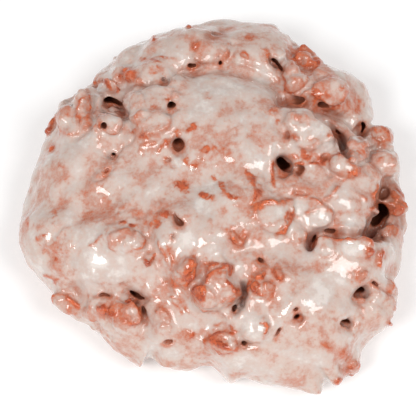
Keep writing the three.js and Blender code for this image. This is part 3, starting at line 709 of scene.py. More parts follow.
# Thinly coated crust: pixel across and down, half sizes, turn in degrees, bareness
BARE_PLACES = {
    "left streak": (62, 164, 4, 6, 0, 0.5),
    "left streak end": (67, 178, 3, 8, 15, 0.5),
    "belly streak": (88, 213, 5, 10, -10, 0.5),
    "belly spot": (105, 219, 2.5, 2, 0, 0.6),
    "belly blush": (120, 215, 20, 10, 0, 0.4),
    "orange crescent": (123, 224, 5, 3, 10, 0.9),
    "orange bead": (132, 227, 3, 2, 0, 0.8),
    "brown bead": (147, 223, 4, 3, 0, 0.6),
    "orange arch": (157, 224, 5, 4, 0, 0.95),
    "arch spot": (158, 216, 3, 3, 0, 0.6),
    "fold blush": (165, 215, 6, 4, 0, 0.9),
    "fold end": (184, 228, 5, 4, 0, 0.6),
    "nugget face": (217, 274, 10, 7, 30, 0.55),
    "nugget cheek": (199, 294, 5, 6, 0, 0.7),
    "nugget side": (232, 293, 4, 8, -20, 0.7),
    "nugget chin": (214, 301, 12, 5, 0, 0.45),
    "leaf face": (188, 272, 15, 4.5, 56, 0.65),
    "nugget net": (142, 244, 6, 6, 0, 0.5),
    "hip blush": (57, 246, 15, 10, -10, 0.45),
    "hip spot": (60, 248, 6, 3, 0, 0.6),
    "hip drop": (57, 259, 2, 4, 0, 0.7),
    "hip crescent": (42, 237, 6, 2.5, 30, 0.75),
    "rim streak": (28, 221, 2.4, 5, 0, 0.6),
    "rim dusk": (36, 229, 6, 5, 0, 0.4),
    "left spot": (54, 214, 4, 4, 0, 0.55),
    "star patch": (182, 186, 7, 6, -10, 0.95),
    "star arm": (176, 184, 3, 3, 0, 0.9),
    "star foot": (183, 191, 8, 2, -12, 0.9),
    "crown crescent": (223, 187, 3, 6, 20, 1.0),
    "crescent top": (214, 178, 3, 4, 0, 0.8),
    "crescent streak": (230, 197, 10, 3, -14, 1.0),
    "crown streak": (250, 179, 3, 9, 28, 0.95),
    "shelf spot": (256, 196, 4, 9, -20, 0.9),
    "shelf top": (270, 204, 14, 3, -5, 0.7),
    "patch": (207, 197, 8, 4, -10, 0.85),
    "amber skirt": (186, 160, 4, 7, 25, 0.8),
    "amber tail": (194, 165, 5, 3, -25, 0.95),
    "orange nub": (208, 149, 8, 4, 5, 0.9),
    "blush": (222, 153, 10, 6, 0, 0.5),
    "pore ring": (191, 128, 7, 5, 30, 0.8),
    "pore ring left": (176, 133, 5, 5, 0, 0.7),
    "nub streak": (166, 142, 4, 4, 0, 0.9),
    "orange spot": (278, 123, 4, 4, 0, 0.8),
    "seam spot": (134, 133, 3, 4, 0, 0.8),
    "seam blush": (146, 136, 8, 4, 0, 0.65),
    "lobe blush": (155, 108, 6, 3, 0, 0.6),
    "crown specks": (207, 96, 5, 4, 0, 0.75),
    "far blush": (160, 60, 14, 3, 0, 0.7),
    "far line": (155, 70, 4, 5, -30, 0.8),
    "far specks": (144, 60, 4, 2.5, 0, 0.8),
    "far mark": (250, 37, 4, 5, -45, 0.9),
    "far dot": (245, 55, 4, 4, 0, 0.85),
    "far fold": (265, 56, 5, 8, 20, 0.75),
    "right blush": (318, 98, 5, 10, 10, 0.9),
    "right tip": (336, 107, 5, 3, 10, 0.8),
    "right ring": (341, 88, 5, 3, -10, 0.6),
    "cave roof": (303, 153, 5, 4, 0, 0.7),
    "cave wall": (306, 160, 5, 5, 0, 0.5),
    "crown mottle": (300, 120, 8, 4, -20, 0.6),
    "second crown mottle": (312, 141, 7, 4, -30, 0.6),
    "third crown mottle": (295, 138, 5, 4, 0, 0.55),
    "lobe mark": (327, 136, 5, 3, 20, 0.6),
    "pebble foot": (298, 242, 7, 3, 0, 0.6),
    "shelf corner": (258, 209, 8, 6, -20, 0.9),
    "fold crust": (285, 221, 4, 9, -30, 0.75),
    "fold foot": (279, 232, 7, 4, 30, 0.8),
    "fold red": (290, 217, 2.5, 5, -20, 0.9),
    "ledge red": (335, 238, 6, 2, 10, 0.6),
    "knob blush": (335, 272, 8, 6, 0, 0.45),
    "knob red": (350, 271, 4, 5, 0, 0.6),
    "crevice wall": (249, 288, 3, 8, -10, 0.95),
    "apron red": (236, 348, 6, 3, -20, 0.7),
    "lobe notch": (266, 325, 4, 3, -20, 0.75),
    "peach face": (359, 150, 8, 8, 0, 0.6),
    "boss red": (381, 158, 4, 7, 15, 0.6),
    "wedge side": (139, 314, 2.5, 7, 15, 0.8),
    "shelf crust": (395, 207, 12, 5, 8, 0.9),
    "cavern edge": (398, 192, 4, 9, 35, 0.8),
    "cavern low lumps": (391, 229, 11, 7, 0, 0.6),
    "ledge edge": (345, 239, 27, 2.5, -3, 0.8),
    "notch edge": (316, 240, 3, 7, -25, 0.8),
    "roof lumps": (292, 157, 7, 4, 0, 0.7),
    "roof middle": (307, 157, 6, 5, 0, 0.7),
    "roof end": (322, 160, 8, 4, 0, 0.8),
    "edge knob side": (379, 142, 9, 5, 0, 0.6),
    "boss side": (374, 158, 6, 9, 0, 0.35),
    "shoulder grey": (352, 104, 14, 12, 0, 0.5),
}


def photo_ray(across, down):
    """The line of sight through a pixel of the photo."""
    right = (across - FRAME_PIXELS / 2) * PIXEL
    up = (FRAME_PIXELS / 2 - down) * PIXEL
    return (CAMERA_DISTANCE * VIEW_AHEAD + right * VIEW_RIGHT + up * VIEW_UP).normalized()


def photo_pixels(points):
    """Where points of the fritter fall in the photo, as two arrays of pixels."""
    offsets = points - np.array(CAMERA_PLACE)
    scale = CAMERA_DISTANCE / (offsets @ np.array(VIEW_AHEAD)) / PIXEL
    across = FRAME_PIXELS / 2 + (offsets @ np.array(VIEW_RIGHT)) * scale
    down = FRAME_PIXELS / 2 - (offsets @ np.array(VIEW_UP)) * scale
    return across, down


def facing_photo(normals, low=TURNED_AWAY, high=IN_VIEW):
    """How far surfaces face the photo's camera: 0 from behind, 1 in full view."""
    return ease(-(normals @ np.array(VIEW_AHEAD)), low, high)


def line_gaps(across, down, line):
    """Distances in pixels to the nearest stretch of a line of pixels."""
    nearest = np.full(len(across), np.inf)
    for (start_across, start_down), (end_across, end_down) in zip(line, line[1:]):
        leg_across = end_across - start_across
        leg_down = end_down - start_down
        offset_across = across - start_across
        offset_down = down - start_down
        share = (offset_across * leg_across + offset_down * leg_down) / (leg_across**2 + leg_down**2)
        share = np.clip(share, 0, 1)
        gaps = np.hypot(offset_across - share * leg_across, offset_down - share * leg_down)
        nearest = np.minimum(nearest, gaps)
    return nearest


def outline_depths(across, down, outline):
    """How far pixels lie inside a closed outline, less than 0 outside it."""
    closed = outline + outline[:1]
    inside = np.zeros(len(across), bool)
    for (start_across, start_down), (end_across, end_down) in zip(closed, closed[1:]):
        if start_down != end_down:
            slope = (end_across - start_across) / (end_down - start_down)
            level = (start_down > down) != (end_down > down)
            inside ^= level & (across < start_across + slope * (down - start_down))
    gaps = line_gaps(across, down, closed)
    return np.where(inside, gaps, -gaps)


def pixels_near(across, down, line, margin):
    """Which pixels lie in the upright frame around a line, with a margin."""
    line_across = [spot[0] for spot in line]
    line_down = [spot[1] for spot in line]
    near = (across > min(line_across) - margin) & (across < max(line_across) + margin)
    near &= (down > min(line_down) - margin) & (down < max(line_down) + margin)
    return np.flatnonzero(near)


def line_tops(across, down, line, half_width):
    """Which pixels lie on a drawn line, and how near its middle: 1 along it, 0 at its sides."""
    spots = pixels_near(across, down, line, half_width)
    return spots, np.clip(1 - line_gaps(across[spots], down[spots], line) / half_width, 0, 1)


def oval_share(across, down, oval):
    """How far pixels are from the middle of a turned oval, as a share of the oval's own reach."""
    middle_across, middle_down, half_width, half_height, turn = oval
    angle = math.radians(turn)
    right = across - middle_across
    up = middle_down - down
    along = right * math.cos(angle) + up * math.sin(angle)
    upright = up * math.cos(angle) - right * math.sin(angle)
    return np.hypot(along / half_width, upright / half_height)


def roughness_at(across, down):
    """How craggy the crust is at pixels of the photo, from 0 to 1."""
    rough = np.full(len(across), SEEN_ROUGHNESS)
    for middle_across, middle_down, radius, share in ROUGH_PLACES.values():
        gap = np.hypot(across - middle_across, down - middle_down) / radius
        rough = np.maximum(rough, share * ease(MARK_REACH - gap, 0, ROUGH_FADE))
    return rough


def ease(values, low, high):
    """Rises softly from 0 to 1 as values go from low to high."""
    share = np.clip((values - low) / (high - low), 0, 1)
    return share * share * (3 - 2 * share)


def patchy(values, base, gain):
    """A share that is at least a base and gains with values."""
    return base + gain * values


def fractal_noise(places, size, octaves, softness=1.0):
    """Soft noise at places, mostly between -1 and 1, with features of about a size."""
    return np.array([noise.fractal(Vector(place) / size, softness, 2.0, octaves) for place in places])


def wobbled_pixels(places):
    """Where points fall in the photo, nudged a little so that drawn edges come out uneven."""
    across, down = photo_pixels(places)
    nudge = np.array([noise.noise_vector(Vector(place) / EDGE_WOBBLE_SIZE)[:2] for place in places])
    return across + EDGE_WOBBLE * nudge[:, 0], down + EDGE_WOBBLE * nudge[:, 1]


def marked(places, normals, marks):
    """How strongly ovals marked in the photo act on points of the fritter."""
    across, down = wobbled_pixels(places)
    strength = np.zeros(len(places))
    for *oval, most in marks.values():
        share = oval_share(across, down, oval)
        strength = np.maximum(strength, most * ease(MARK_REACH - share, 0, MARK_FADE))
    return strength * facing_photo(normals)


def new_piece(name, mesh=None):
    """A new object at the origin, in the scene."""
    piece = bpy.data.objects.new(name, mesh or bpy.data.meshes.new(name))
    bpy.context.scene.collection.objects.link(piece)
    return piece


def bake_modifiers(piece):
    """Makes the result of a piece's modifiers its own mesh."""
    view = bpy.context.evaluated_depsgraph_get()
    mesh = bpy.data.meshes.new_from_object(piece.evaluated_get(view))
    worn = piece.data
    piece.modifiers.clear()
    piece.data = mesh
    bpy.data.meshes.remove(worn)


def remesh(piece, voxel):
    """Fuses everything in a piece into one even skin."""
    modifier = piece.modifiers.new("Skin", "REMESH")
    modifier.mode = "VOXEL"
    modifier.voxel_size = voxel
    modifier.use_smooth_shade = True
    bake_modifiers(piece)


def add_smoothing(piece, rounds):
    """Gives a piece a modifier that smooths it."""
    modifier = piece.modifiers.new("Relax", "SMOOTH")
    modifier.factor = SMOOTH_FACTOR
    modifier.iterations = rounds


def relax(piece, rounds):
    """Smooths a piece."""
    add_smoothing(piece, rounds)
    bake_modifiers(piece)


def relaxed_places(piece, rounds):
    """Where a piece's points would lie after smoothing, with the piece left as it is."""
    add_smoothing(piece, rounds)
    evaluated = piece.evaluated_get(bpy.context.evaluated_depsgraph_get())
    places = vertex_places(evaluated.to_mesh())
    evaluated.to_mesh_clear()
    piece.modifiers.clear()
    return places


def surface_tree(piece):
    """A search tree over a piece's faces."""
    return BVHTree.FromObject(piece, bpy.context.evaluated_depsgraph_get())


def read_rows(items, name):
    """A vector that each item of a mesh holds, as rows of an array."""
    values = np.empty(len(items) * 3, np.float32)
    items.foreach_get(name, values)
    return values.reshape(-1, 3).astype(float)


def vertex_places(mesh):
    """A mesh's points as rows of an array."""
    return read_rows(mesh.vertices, "co")


def vertex_normals(mesh):
    """A mesh's normals at its points as rows of an array."""
    return read_rows(mesh.vertex_normals, "vector")


def set_places(mesh, places):
    """Moves a mesh's points, none of them under the floor."""
    places[:, 2] = np.maximum(places[:, 2], 0)
    mesh.vertices.foreach_set("co", places.astype(np.float32).ravel())
    mesh.update()


def store(mesh, name, values):
    """Keeps a value at each point of a mesh."""
    attribute = mesh.attributes.get(name) or mesh.attributes.new(name, "FLOAT", "POINT")
    attribute.data.foreach_set("value", values.astype(np.float32))


def stored(mesh, name):
    """The values kept at a mesh's points."""
    values = np.empty(len(mesh.vertices), np.float32)
    mesh.attributes[name].data.foreach_get("value", values)
    return values.astype(float)


def spread(mesh, values, rounds):
    """Spreads values kept at a mesh's points out over their neighbours."""
    edges = np.empty(len(mesh.edges) * 2, np.int32)
    mesh.edges.foreach_get("vertices", edges)
    first, second = edges.reshape(-1, 2).T
    neighbours = np.bincount(edges, minlength=len(values))
    for _ in range(rounds):
        sums = np.bincount(first, values[second], len(values))
        sums += np.bincount(second, values[first], len(values))
        values = KEPT_SHARE * values + PASSED_SHARE * sums / neighbours
    return values


class FritterDough(bpy.types.PropertyGroup):
    """Sizes of the fried dough."""

    seed: bpy.props.IntProperty(
        name="Seed", description="Picks the chance shapes of crags and edges", default=1
    )
    blank_voxel: bpy.props.FloatProperty(
        name="Blank Voxel", description="Mesh size of the plain dough", default=0.8 * MM,
        unit="LENGTH", precision=5
    )
    skin_voxel: bpy.props.FloatProperty(
        name="Skin Voxel", description="Mesh size of the finished crust", default=0.35 * MM,
        unit="LENGTH", precision=5
    )
    lump_slope: bpy.props.FloatProperty(
        name="Lump Slope", description="How steep the sides of lumps stand", default=3.2
    )
    crag_size: bpy.props.FloatVectorProperty(
        name="Crag Size", description="How far apart large, small and fine crags stand",
        default=(8.5 * MM, 4.6 * MM, 2.6 * MM), size=3, unit="LENGTH", precision=5
    )
    crag_rise: bpy.props.FloatVectorProperty(
        name="Crag Rise", description="Height of large, small and fine crags",
        default=(2.4 * MM, 0.9 * MM, 0.5 * MM), size=3, unit="LENGTH", precision=5
    )
    swell_height: bpy.props.FloatProperty(
        name="Swell Height", description="How far the crust swells and sinks between lumps",
        default=0.5 * MM, unit="LENGTH", precision=5
    )
    swell_size: bpy.props.FloatProperty(
        name="Swell Size", description="How far apart swells lie", default=6 * MM,
        unit="LENGTH", precision=5
    )
    triangles: bpy.props.IntProperty(
        name="Triangles", description="Most triangles in the piece", default=196000
    )


class FritterGlaze(bpy.types.PropertyGroup):
    """Colours of the glaze and of the crust under it, with painted shade for folds, dips and holes and a
    painted sheen for pools.
    """

    crust_color: bpy.props.FloatVectorProperty(
        name="Crust", description="Bare fried crust", subtype="COLOR", size=3,
        default=(0.47, 0.08, 0.027)
    )
    hot_crust_color: bpy.props.FloatVectorProperty(
        name="Hot Crust", description="Bright orange stretches of crust", subtype="COLOR", size=3,
        default=(0.76, 0.178, 0.064)
    )
    # Darker flecks of crust, also laid into dips of bare crust as painted shade
    deep_crust_and_shade_color: bpy.props.FloatVectorProperty(
        name="Deep Crust", description="Darker flecks of crust", subtype="COLOR", size=3,
        default=(0.19, 0.030, 0.012)
    )
    amber_color: bpy.props.FloatVectorProperty(
        name="Amber", description="Crust under a trace of glaze", subtype="COLOR", size=3,
        default=(0.545, 0.168, 0.088)
    )
    film_color: bpy.props.FloatVectorProperty(
        name="Film", description="Crust seen through thin glaze", subtype="COLOR", size=3,
        default=(0.565, 0.30, 0.23)
    )
    veil_color: bpy.props.FloatVectorProperty(
        name="Veil", description="Glaze that lets a little crust through", subtype="COLOR", size=3,
        default=(0.62, 0.46, 0.395)
    )
    milk_color: bpy.props.FloatVectorProperty(
        name="Milk", description="Thick glaze", subtype="COLOR", size=3, default=(0.63, 0.522, 0.47)
    )
    # Painted sheen: a paler glaze on pools and runs, standing in for the broad reflection of the soft
    # lights
    painted_sheen_color: bpy.props.FloatVectorProperty(
        name="Cream", description="Glaze in pools and runs", subtype="COLOR", size=3,
        default=(0.74, 0.66, 0.61)
    )
    # Painted shade: a dark brown laid into deep folds, creases and shady places, where shade falls
    fold_shade_color: bpy.props.FloatVectorProperty(
        name="Hollow", description="Glaze in deep folds", subtype="COLOR", size=3,
        default=(0.29, 0.098, 0.054)
    )
    # Bare crust inside air holes, made darker than the crust itself as painted shade
    cave_crust_and_shade_color: bpy.props.FloatVectorProperty(
        name="Cave", description="Crumb inside air holes", subtype="COLOR", size=3,
        default=(0.15, 0.044, 0.022)
    )


class FritterStage(bpy.types.PropertyGroup):
    """Floor and lights."""

    floor_size: bpy.props.FloatProperty(
        name="Floor Size", description="Half the floor's width", default=3, unit="LENGTH"
    )
    floor_color: bpy.props.FloatVectorProperty(
        name="Floor", description="Pale floor", subtype="COLOR", size=3, default=(0.85, 0.85, 0.85)
    )
    floor_glow: bpy.props.FloatProperty(
        name="Floor Glow", description="Light from under the pale floor", default=0.2
    )
    sky_strength: bpy.props.FloatProperty(
        name="Sky", description="Even light from all round", default=0.4
    )
    key_power: bpy.props.FloatProperty(
        name="Key", description="Soft light from the left", default=5.4, unit="POWER"
    )
    key_place: bpy.props.FloatVectorProperty(
        name="Key Place", description="Where the key light hangs", subtype="TRANSLATION", size=3,
        default=(-0.43, -0.48, 0.87)
    )
    key_size: bpy.props.FloatProperty(
        name="Key Size", description="Width of the key light", default=0.36, unit="LENGTH"
    )
    fill_power: bpy.props.FloatProperty(
        name="Fill", description="Soft light from the right", default=4.4, unit="POWER"
    )
    fill_place: bpy.props.FloatVectorProperty(
        name="Fill Place", description="Where the fill light hangs", subtype="TRANSLATION", size=3,
        default=(0.48, -0.3, 0.87)
    )
    fill_size: bpy.props.FloatProperty(
        name="Fill Size", description="Width of the fill light", default=0.42, unit="LENGTH"
    )


class FRITTER_OT_glazed_fritter(bpy.types.Operator):
    """Make the glazed fritter: dough with lumps, creases, crags and air holes, under glaze"""

    bl_idname = "fritter.glazed_fritter"
    bl_label = "Glazed Fritter"

    def execute(self, context):
        sizes = context.scene.fritter_dough
        glaze = context.scene.fritter_glaze
        noise.seed_set(sizes.seed)
        piece = new_piece("glazed_fritter", self.merged_copy())
        remesh(piece, sizes.blank_voxel)
        relax(piece, BLANK_ROUNDS)
        self.add_knobs(piece)
        remesh(piece, sizes.skin_voxel)
        relax(piece, SKIN_ROUNDS)
        self.fit_outline(piece)
        shaped, bare = self.raise_relief(piece, sizes)
        remesh(piece, sizes.skin_voxel)
        uncut = surface_tree(piece)
        self.cut_holes(piece, uncut)
        remesh(piece, sizes.skin_voxel)
        self.measure_pits(piece, uncut)
        self.pour_glaze(piece, self.carry_over(piece, shaped, bare))
        self.thin_underside(piece, sizes)
        self.drop_loose_bits(piece)
        piece.data.materials.clear()
        piece.data.materials.append(glazed_crust_material(glaze))
        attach(piece, "root")
        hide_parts("fritter")
        return {"FINISHED"}

    def merged_copy(self):
        """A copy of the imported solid's mesh with its shared corners merged."""
        mesh = DOUGH.data.copy()
        form = bmesh.new()
        form.from_mesh(mesh)
        bmesh.ops.remove_doubles(form, verts=form.verts, dist=MERGE_GAP)
        form.to_mesh(mesh)
        form.free()
        mesh.materials.clear()
        return mesh

    def add_knobs(self, piece):
        """Sets uneven knobs of dough into the surface where the photo shows them."""
        tree = surface_tree(piece)
        turn = Matrix((VIEW_RIGHT, VIEW_UP, -VIEW_AHEAD)).transposed().to_4x4()
        form = bmesh.new()
        form.from_mesh(piece.data)
        for across, down, half_width, half_height, stand in KNOBS.values():
            point, normal, _, _ = tree.ray_cast(CAMERA_PLACE, photo_ray(across, down))
            out = (normal - VIEW_AHEAD).normalized()
            depth = KNOB_DEPTH * min(half_width, half_height)
            place = Matrix.Translation(point + stand * depth * PIXEL * out)
            stretch = Matrix.Diagonal((half_width * PIXEL, half_height * PIXEL, depth * PIXEL, 1))
            knob = bmesh.ops.create_icosphere(
                form, subdivisions=KNOB_DIVISIONS, radius=1, matrix=place @ turn @ stretch)
            for vert in knob["verts"]:
                vert.co += KNOB_WOBBLE * noise.noise_vector(vert.co / KNOB_WOBBLE_SIZE)
        form.to_mesh(piece.data)
        form.free()

    def fit_outline(self, piece):
        """Draws the rim in or out until its outline, drips and notches follow the photo's."""
        mesh = piece.data
        places = vertex_places(mesh)
        across, down = photo_pixels(places)
        across -= FRAME_PIXELS / 2
        down -= FRAME_PIXELS / 2
        reach = np.hypot(across, down)
        step = ((np.arctan2(down, across) / math.tau) % 1 * BEARINGS).astype(int) % BEARINGS
        found = np.zeros(BEARINGS)
        np.maximum.at(found, step, reach)
        found = (np.roll(found, 1) + found + np.roll(found, -1)) / 3
        drawn = np.array([spot for side in OUTLINE.values() for spot in side], float)
        drawn -= FRAME_PIXELS / 2
        bearings = np.arctan2(drawn[:, 1], drawn[:, 0]) / math.tau * BEARINGS
        drawn_reach = np.hypot(drawn[:, 0], drawn[:, 1])
        wanted = np.interp(np.arange(BEARINGS) + 0.5, bearings, drawn_reach, period=BEARINGS)
        stretch = (wanted / found - 1)[step] * ease(reach / found[step], *RIM_BAND)
        places[:, 0] += stretch * across * PIXEL
        places[:, 1] -= stretch * down * PIXEL / math.sin(CAMERA_RISE)
        set_places(mesh, places)

    def raise_relief(self, piece, sizes):
        """Raises lumps, ridges and crags, presses in creases, and tells how bare each point is."""
        mesh = piece.data
        places = vertex_places(mesh)
        normals = vertex_normals(mesh)
        across, down = wobbled_pixels(places)
        shown = facing_photo(normals)
        rough = self.crag_share(across, down, normals)
        drawn, bare = self.drawn_relief(places, across, down, sizes)
        towards = normals - np.array(VIEW_AHEAD)
        towards /= np.linalg.norm(towards, axis=1)[:, None] + LEAST_LENGTH
        relief = sizes.swell_height * fractal_noise(places, sizes.swell_size, 2)
        bare *= shown
        browned = ease(fractal_noise(places, BROWNING_SIZE, 2), *BROWNING_RANGE)
        for size, rise in zip(sizes.crag_size, sizes.crag_rise):
            heights, rims = self.crags(places, size)
            relief += rise * heights * rough
            bare = np.maximum(bare, (HIDDEN_BARENESS - SEEN_LOSS * shown) * rims * rough * browned)
        relief *= 1 - np.clip(POOL_CALM * marked(places, normals, THICK_PLACES), 0, MOST_CALM)
        places += towards * (drawn * shown)[:, None] + normals * relief[:, None]
        set_places(mesh, places)
        return places, bare

    def crag_share(self, across, down, normals):
        """How craggy points are: as the photo shows, more on hidden sides, and plain underneath."""
        seen = facing_photo(normals, BEHIND, TURNED_AWAY)
        rough = HIDDEN_ROUGHNESS + (roughness_at(across, down) - HIDDEN_ROUGHNESS) * seen
        return rough * (1 - ease(-normals[:, 2], *UNDERSIDE))

    def drawn_relief(self, places, across, down, sizes):
        """Heights and bareness of the lumps, ridges, creases and marks that the photo shows."""
        grain = fractal_noise(places, GRAIN_SIZE, 2)
        bands = ease(fractal_noise(places, BAND_SIZE, 2), *BAND_RANGE)
        veins = np.clip(1 - VEIN_SHARPNESS * np.abs(fractal_noise(places, VEIN_SIZE, 2)), 0, 1)
        netted = patchy(veins, *NET)
        relief = np.zeros(len(places))
        bare = np.zeros(len(places))
        for *oval, bareness in BARE_PLACES.values():
            share = np.clip(BARE_REACH - BARE_FALL * oval_share(across, down, oval), 0, 1)
            bare = np.maximum(bare, bareness**BARE_POWER * share * netted)
        relief += VEIN_RISE * veins * bare
        for rise, rim, body, outline in LUMPS.values():
            spots = pixels_near(across, down, outline, LUMP_MARGIN)
            depth = outline_depths(across[spots], down[spots], outline)
            dish = 1 - DISH_SHARE * ease(depth, *DISH_RANGE) + TOP_GRAIN * grain[spots]
            top = rise * MM * np.clip(dish, LEAST_TOP, None)
            reach = top / (sizes.lump_slope * patchy(bands[spots], *SLOPE_SPREAD) * PIXEL)
            craggy = ease(rim, *CRAGGY_RIM)
            relief[spots] += top * craggy * np.clip(depth / reach, 0, 1)
            relief[spots] += top * (1 - craggy) * ease(depth, SOFT_FOOT, SOFT_REACH * reach)
            from_rim = np.abs(depth - RIM_DEPTH)
            line = np.clip(RIM_TOP - from_rim / RIM_LINE, 0, 1) * patchy(bands[spots], *RIM_SPREAD)
            edge = rim * np.maximum(line, HALO_SHARE * np.clip(1 - from_rim / RIM_HALO, 0, 1))
            inner = body * ease(depth, *BODY_RANGE) * patchy(bands[spots], *BODY_SPREAD)
            bare[spots] = np.maximum(bare[spots], np.maximum(edge, inner * netted[spots]))
        for rise, half_width, share, line in RIDGES.values():
            spots, top = line_tops(across, down, line, half_width)
            relief[spots] += rise * MM * top * patchy(bands[spots], *RIDGE_SPREAD)
            worn = share * np.clip(RIDGE_CROWN * top, 0, 1) * patchy(bands[spots], *WORN_SPREAD)
            bare[spots] = np.maximum(bare[spots], worn)
        for depth, half_width, line in CREASES.values():
            spots, groove = line_tops(across, down, line, half_width)
            relief[spots] -= depth * MM * groove**CREASE_POWER
        for depth, outline in HOLES.values():
            spots = pixels_near(across, down, outline, HOLE_MARGIN)
            inside = outline_depths(across[spots], down[spots], outline)
            relief[spots] -= DIMPLE_SHARE * depth * MM * ease(inside, *DIMPLE_RANGE)
            bare[spots] = np.maximum(bare[spots], LIP_BARENESS * ease(inside, *LIP_RANGE))
        return relief, bare

    def crags(self, places, size):
        """Heights of a layer of crags, tilted plateaus of many levels, and nearness to their rims."""
        heights = np.empty(len(places))
        rims = np.empty(len(places))
        for index, place in enumerate(places):
            spot = Vector(place) / size
            spot += CRAG_WARP * noise.noise_vector(WARP_SCALE * spot)
            gaps, middles = noise.voronoi(spot)
            middle = middles[0]
            tilt = noise.noise_vector(TILT_SCALE * middle)
            level = patchy(noise.noise(LEVEL_SCALE * middle), *LEVEL) + (spot - middle).dot(tilt)
            side = CRAG_STEEPNESS * (gaps[1] - gaps[0])
            heights[index] = max(0, min(level, side))
            nearness = max(0, 1 - abs(side - level) / CRAG_RIM)
            rims[index] = nearness * min(max(CRAG_RIM_GAIN * level, 0), 1)
        return heights, rims

    def carry_over(self, piece, shaped, values):
        """Brings values kept at the shaped points over to the nearest points of the finished skin."""
        finder = KDTree(len(shaped))
        for index, place in enumerate(shaped):
            finder.insert(place, index)
        finder.balance()
        return values[[finder.find(vert.co)[1] for vert in piece.data.vertices]]

    def cut_holes(self, piece, tree):
        """Cuts the air holes and pockets along the photo's line of sight."""
        form = bmesh.new()
        for depth, outline in HOLES.values():
            self.add_cutter(form, tree, depth * MM, outline)
        cutter = new_piece("holes")
        form.to_mesh(cutter.data)
        form.free()
        remesh(cutter, CUTTER_VOXEL)
        relax(cutter, CUTTER_ROUNDS)
        modifier = piece.modifiers.new("Holes", "BOOLEAN")
        modifier.operation = "DIFFERENCE"
        modifier.solver = "MANIFOLD"
        modifier.object = cutter
        bake_modifiers(piece)
        bpy.data.objects.remove(cutter)

    def add_cutter(self, form, tree, depth, outline):
        """Adds a tapered plug that ends under the surface at a depth and stands out over it."""
        total = Vector((sum(spot[0] for spot in outline), sum(spot[1] for spot in outline)))
        ray = photo_ray(*(total / len(outline)))
        point, _, _, reach = tree.ray_cast(CAMERA_PLACE, ray)
        start = reach - CUTTER_STAND
        wide = [form.verts.new(CAMERA_PLACE + start * photo_ray(*spot)) for spot in outline]
        face = form.faces.new(wide)
        end = bmesh.ops.extrude_face_region(form, geom=[face])["geom"]
        deep = [part for part in end if isinstance(part, bmesh.types.BMVert)]
        heights = [vert.co.dot(VIEW_UP) for vert in deep]
        for vert in deep:
            far = (vert.co.dot(VIEW_UP) - min(heights)) / (max(heights) - min(heights))
            vert.co = point + CUTTER_TAPER * (vert.co + (reach - start) * ray - point)
            vert.co += depth * (patchy(far, *CUTTER_REACH) * ray + CUTTER_LIFT * VIEW_UP)
        bmesh.ops.recalc_face_normals(form, faces=form.faces)

    def measure_pits(self, piece, uncut):
        """Keeps how deep each point lies under the surface before the holes, in millimetres."""
        depths = [uncut.find_nearest(vert.co)[3] for vert in piece.data.vertices]
        store(piece.data, "pit", np.array(depths) / MM)

    def sunk(self, piece, places, normals, rounds):
        """How far each point lies under the smoothed surface, in millimetres, less than 0 on tips."""
        return ((relaxed_places(piece, rounds) - places) * normals).sum(axis=1) / MM

    def pour_glaze(self, piece, bare):
        """Pours the glaze: it fills hollows, thins on edges and leaves tips of crust bare, and keeps
        where shade is painted in.
        """
        mesh = piece.data
        places = vertex_places(mesh)
        normals = vertex_normals(mesh)
        near = self.sunk(piece, places, normals, NEAR_ROUNDS)
        middle = self.sunk(piece, places, normals, MIDDLE_ROUNDS)
        wide = self.sunk(piece, places, normals, WIDE_ROUNDS)
        pit = stored(mesh, "pit")
        shade = marked(places, normals, SHADY_PLACES)
        extra = marked(places, normals, THICK_PLACES)

        cover = USUAL_COVER + np.where(near < 0, TIP_LOSS, HOLLOW_GAIN) * near + FOLD_GAIN * middle
        blotches = fractal_noise(places, BLOTCH_SIZE, BLOTCH_OCTAVES, BLOTCH_SOFTNESS)
        cover += BLOTCH_SHARE * blotches + PATCH_SHARE * fractal_noise(places, PATCH_SIZE, 2)
        nearby = spread(mesh, bare, BARE_SPREAD_ROUNDS)
        worn = np.clip(BARE_LOSS * bare + NEARBY_LOSS * nearby, 0, MOST_LOSS)
        cover = np.maximum(cover, LEAST_COVER) * (1 - worn) + extra
        cover *= 1 - PIT_LOSS * ease(pit, *LOSS_PIT)
        cover = np.clip(cover, *COVER_ENDS)

        open_air = 1 - ease(spread(mesh, pit, PIT_SPREAD_ROUNDS), *OPEN_PIT)
        wet = ease(cover, *WET_COVER) * open_air
        hollows = np.clip(near, 0, HOLLOW_FILL)
        filled = np.maximum(hollows, FOLD_SHARE * np.clip(middle, 0, FOLD_FILL)) * (1 - shade)
        pocks = POCK_DEPTH * (1 - wet) * fractal_noise(places, POCK_SIZE, 2)
        set_places(mesh, places + normals * ((FILLING * filled * wet + pocks) * MM)[:, None])
        flat = ease(cover, *FLAT_COVER) * open_air * (1 - ease(np.abs(middle), *FLAT_FOLD))
        pooled = ease(extra, *POOL_EXTRA) * ease(cover, *POOL_COVER) * open_air
        levelled = ((WET_ROUNDS, wet), (MIDDLE_ROUNDS, flat), (POOL_ROUNDS, pooled))
        for rounds, reached in levelled:
            before = vertex_places(mesh)
            moved = relaxed_places(piece, rounds) - before
            set_places(mesh, before + LEVELLING * reached[:, None] * moved)

        # Painted shade: folds, creases and shady places are kept in the hollow attribute, which the
        # material turns dark brown; dips darken bare crust and pits darken air holes
        shade *= ease(wide, *SHADE_RANGE)
        folds = np.maximum(ease(wide, *FOLD_RANGE), CREASE_SHARE * ease(middle, *CREASE_RANGE))
        store(mesh, "dip", ease(near, *DIP_RANGE))
        store(mesh, "cover", cover)
        store(mesh, "cave", ease(pit, *CAVE_PIT))
        store(mesh, "hollow", np.maximum(folds, shade))

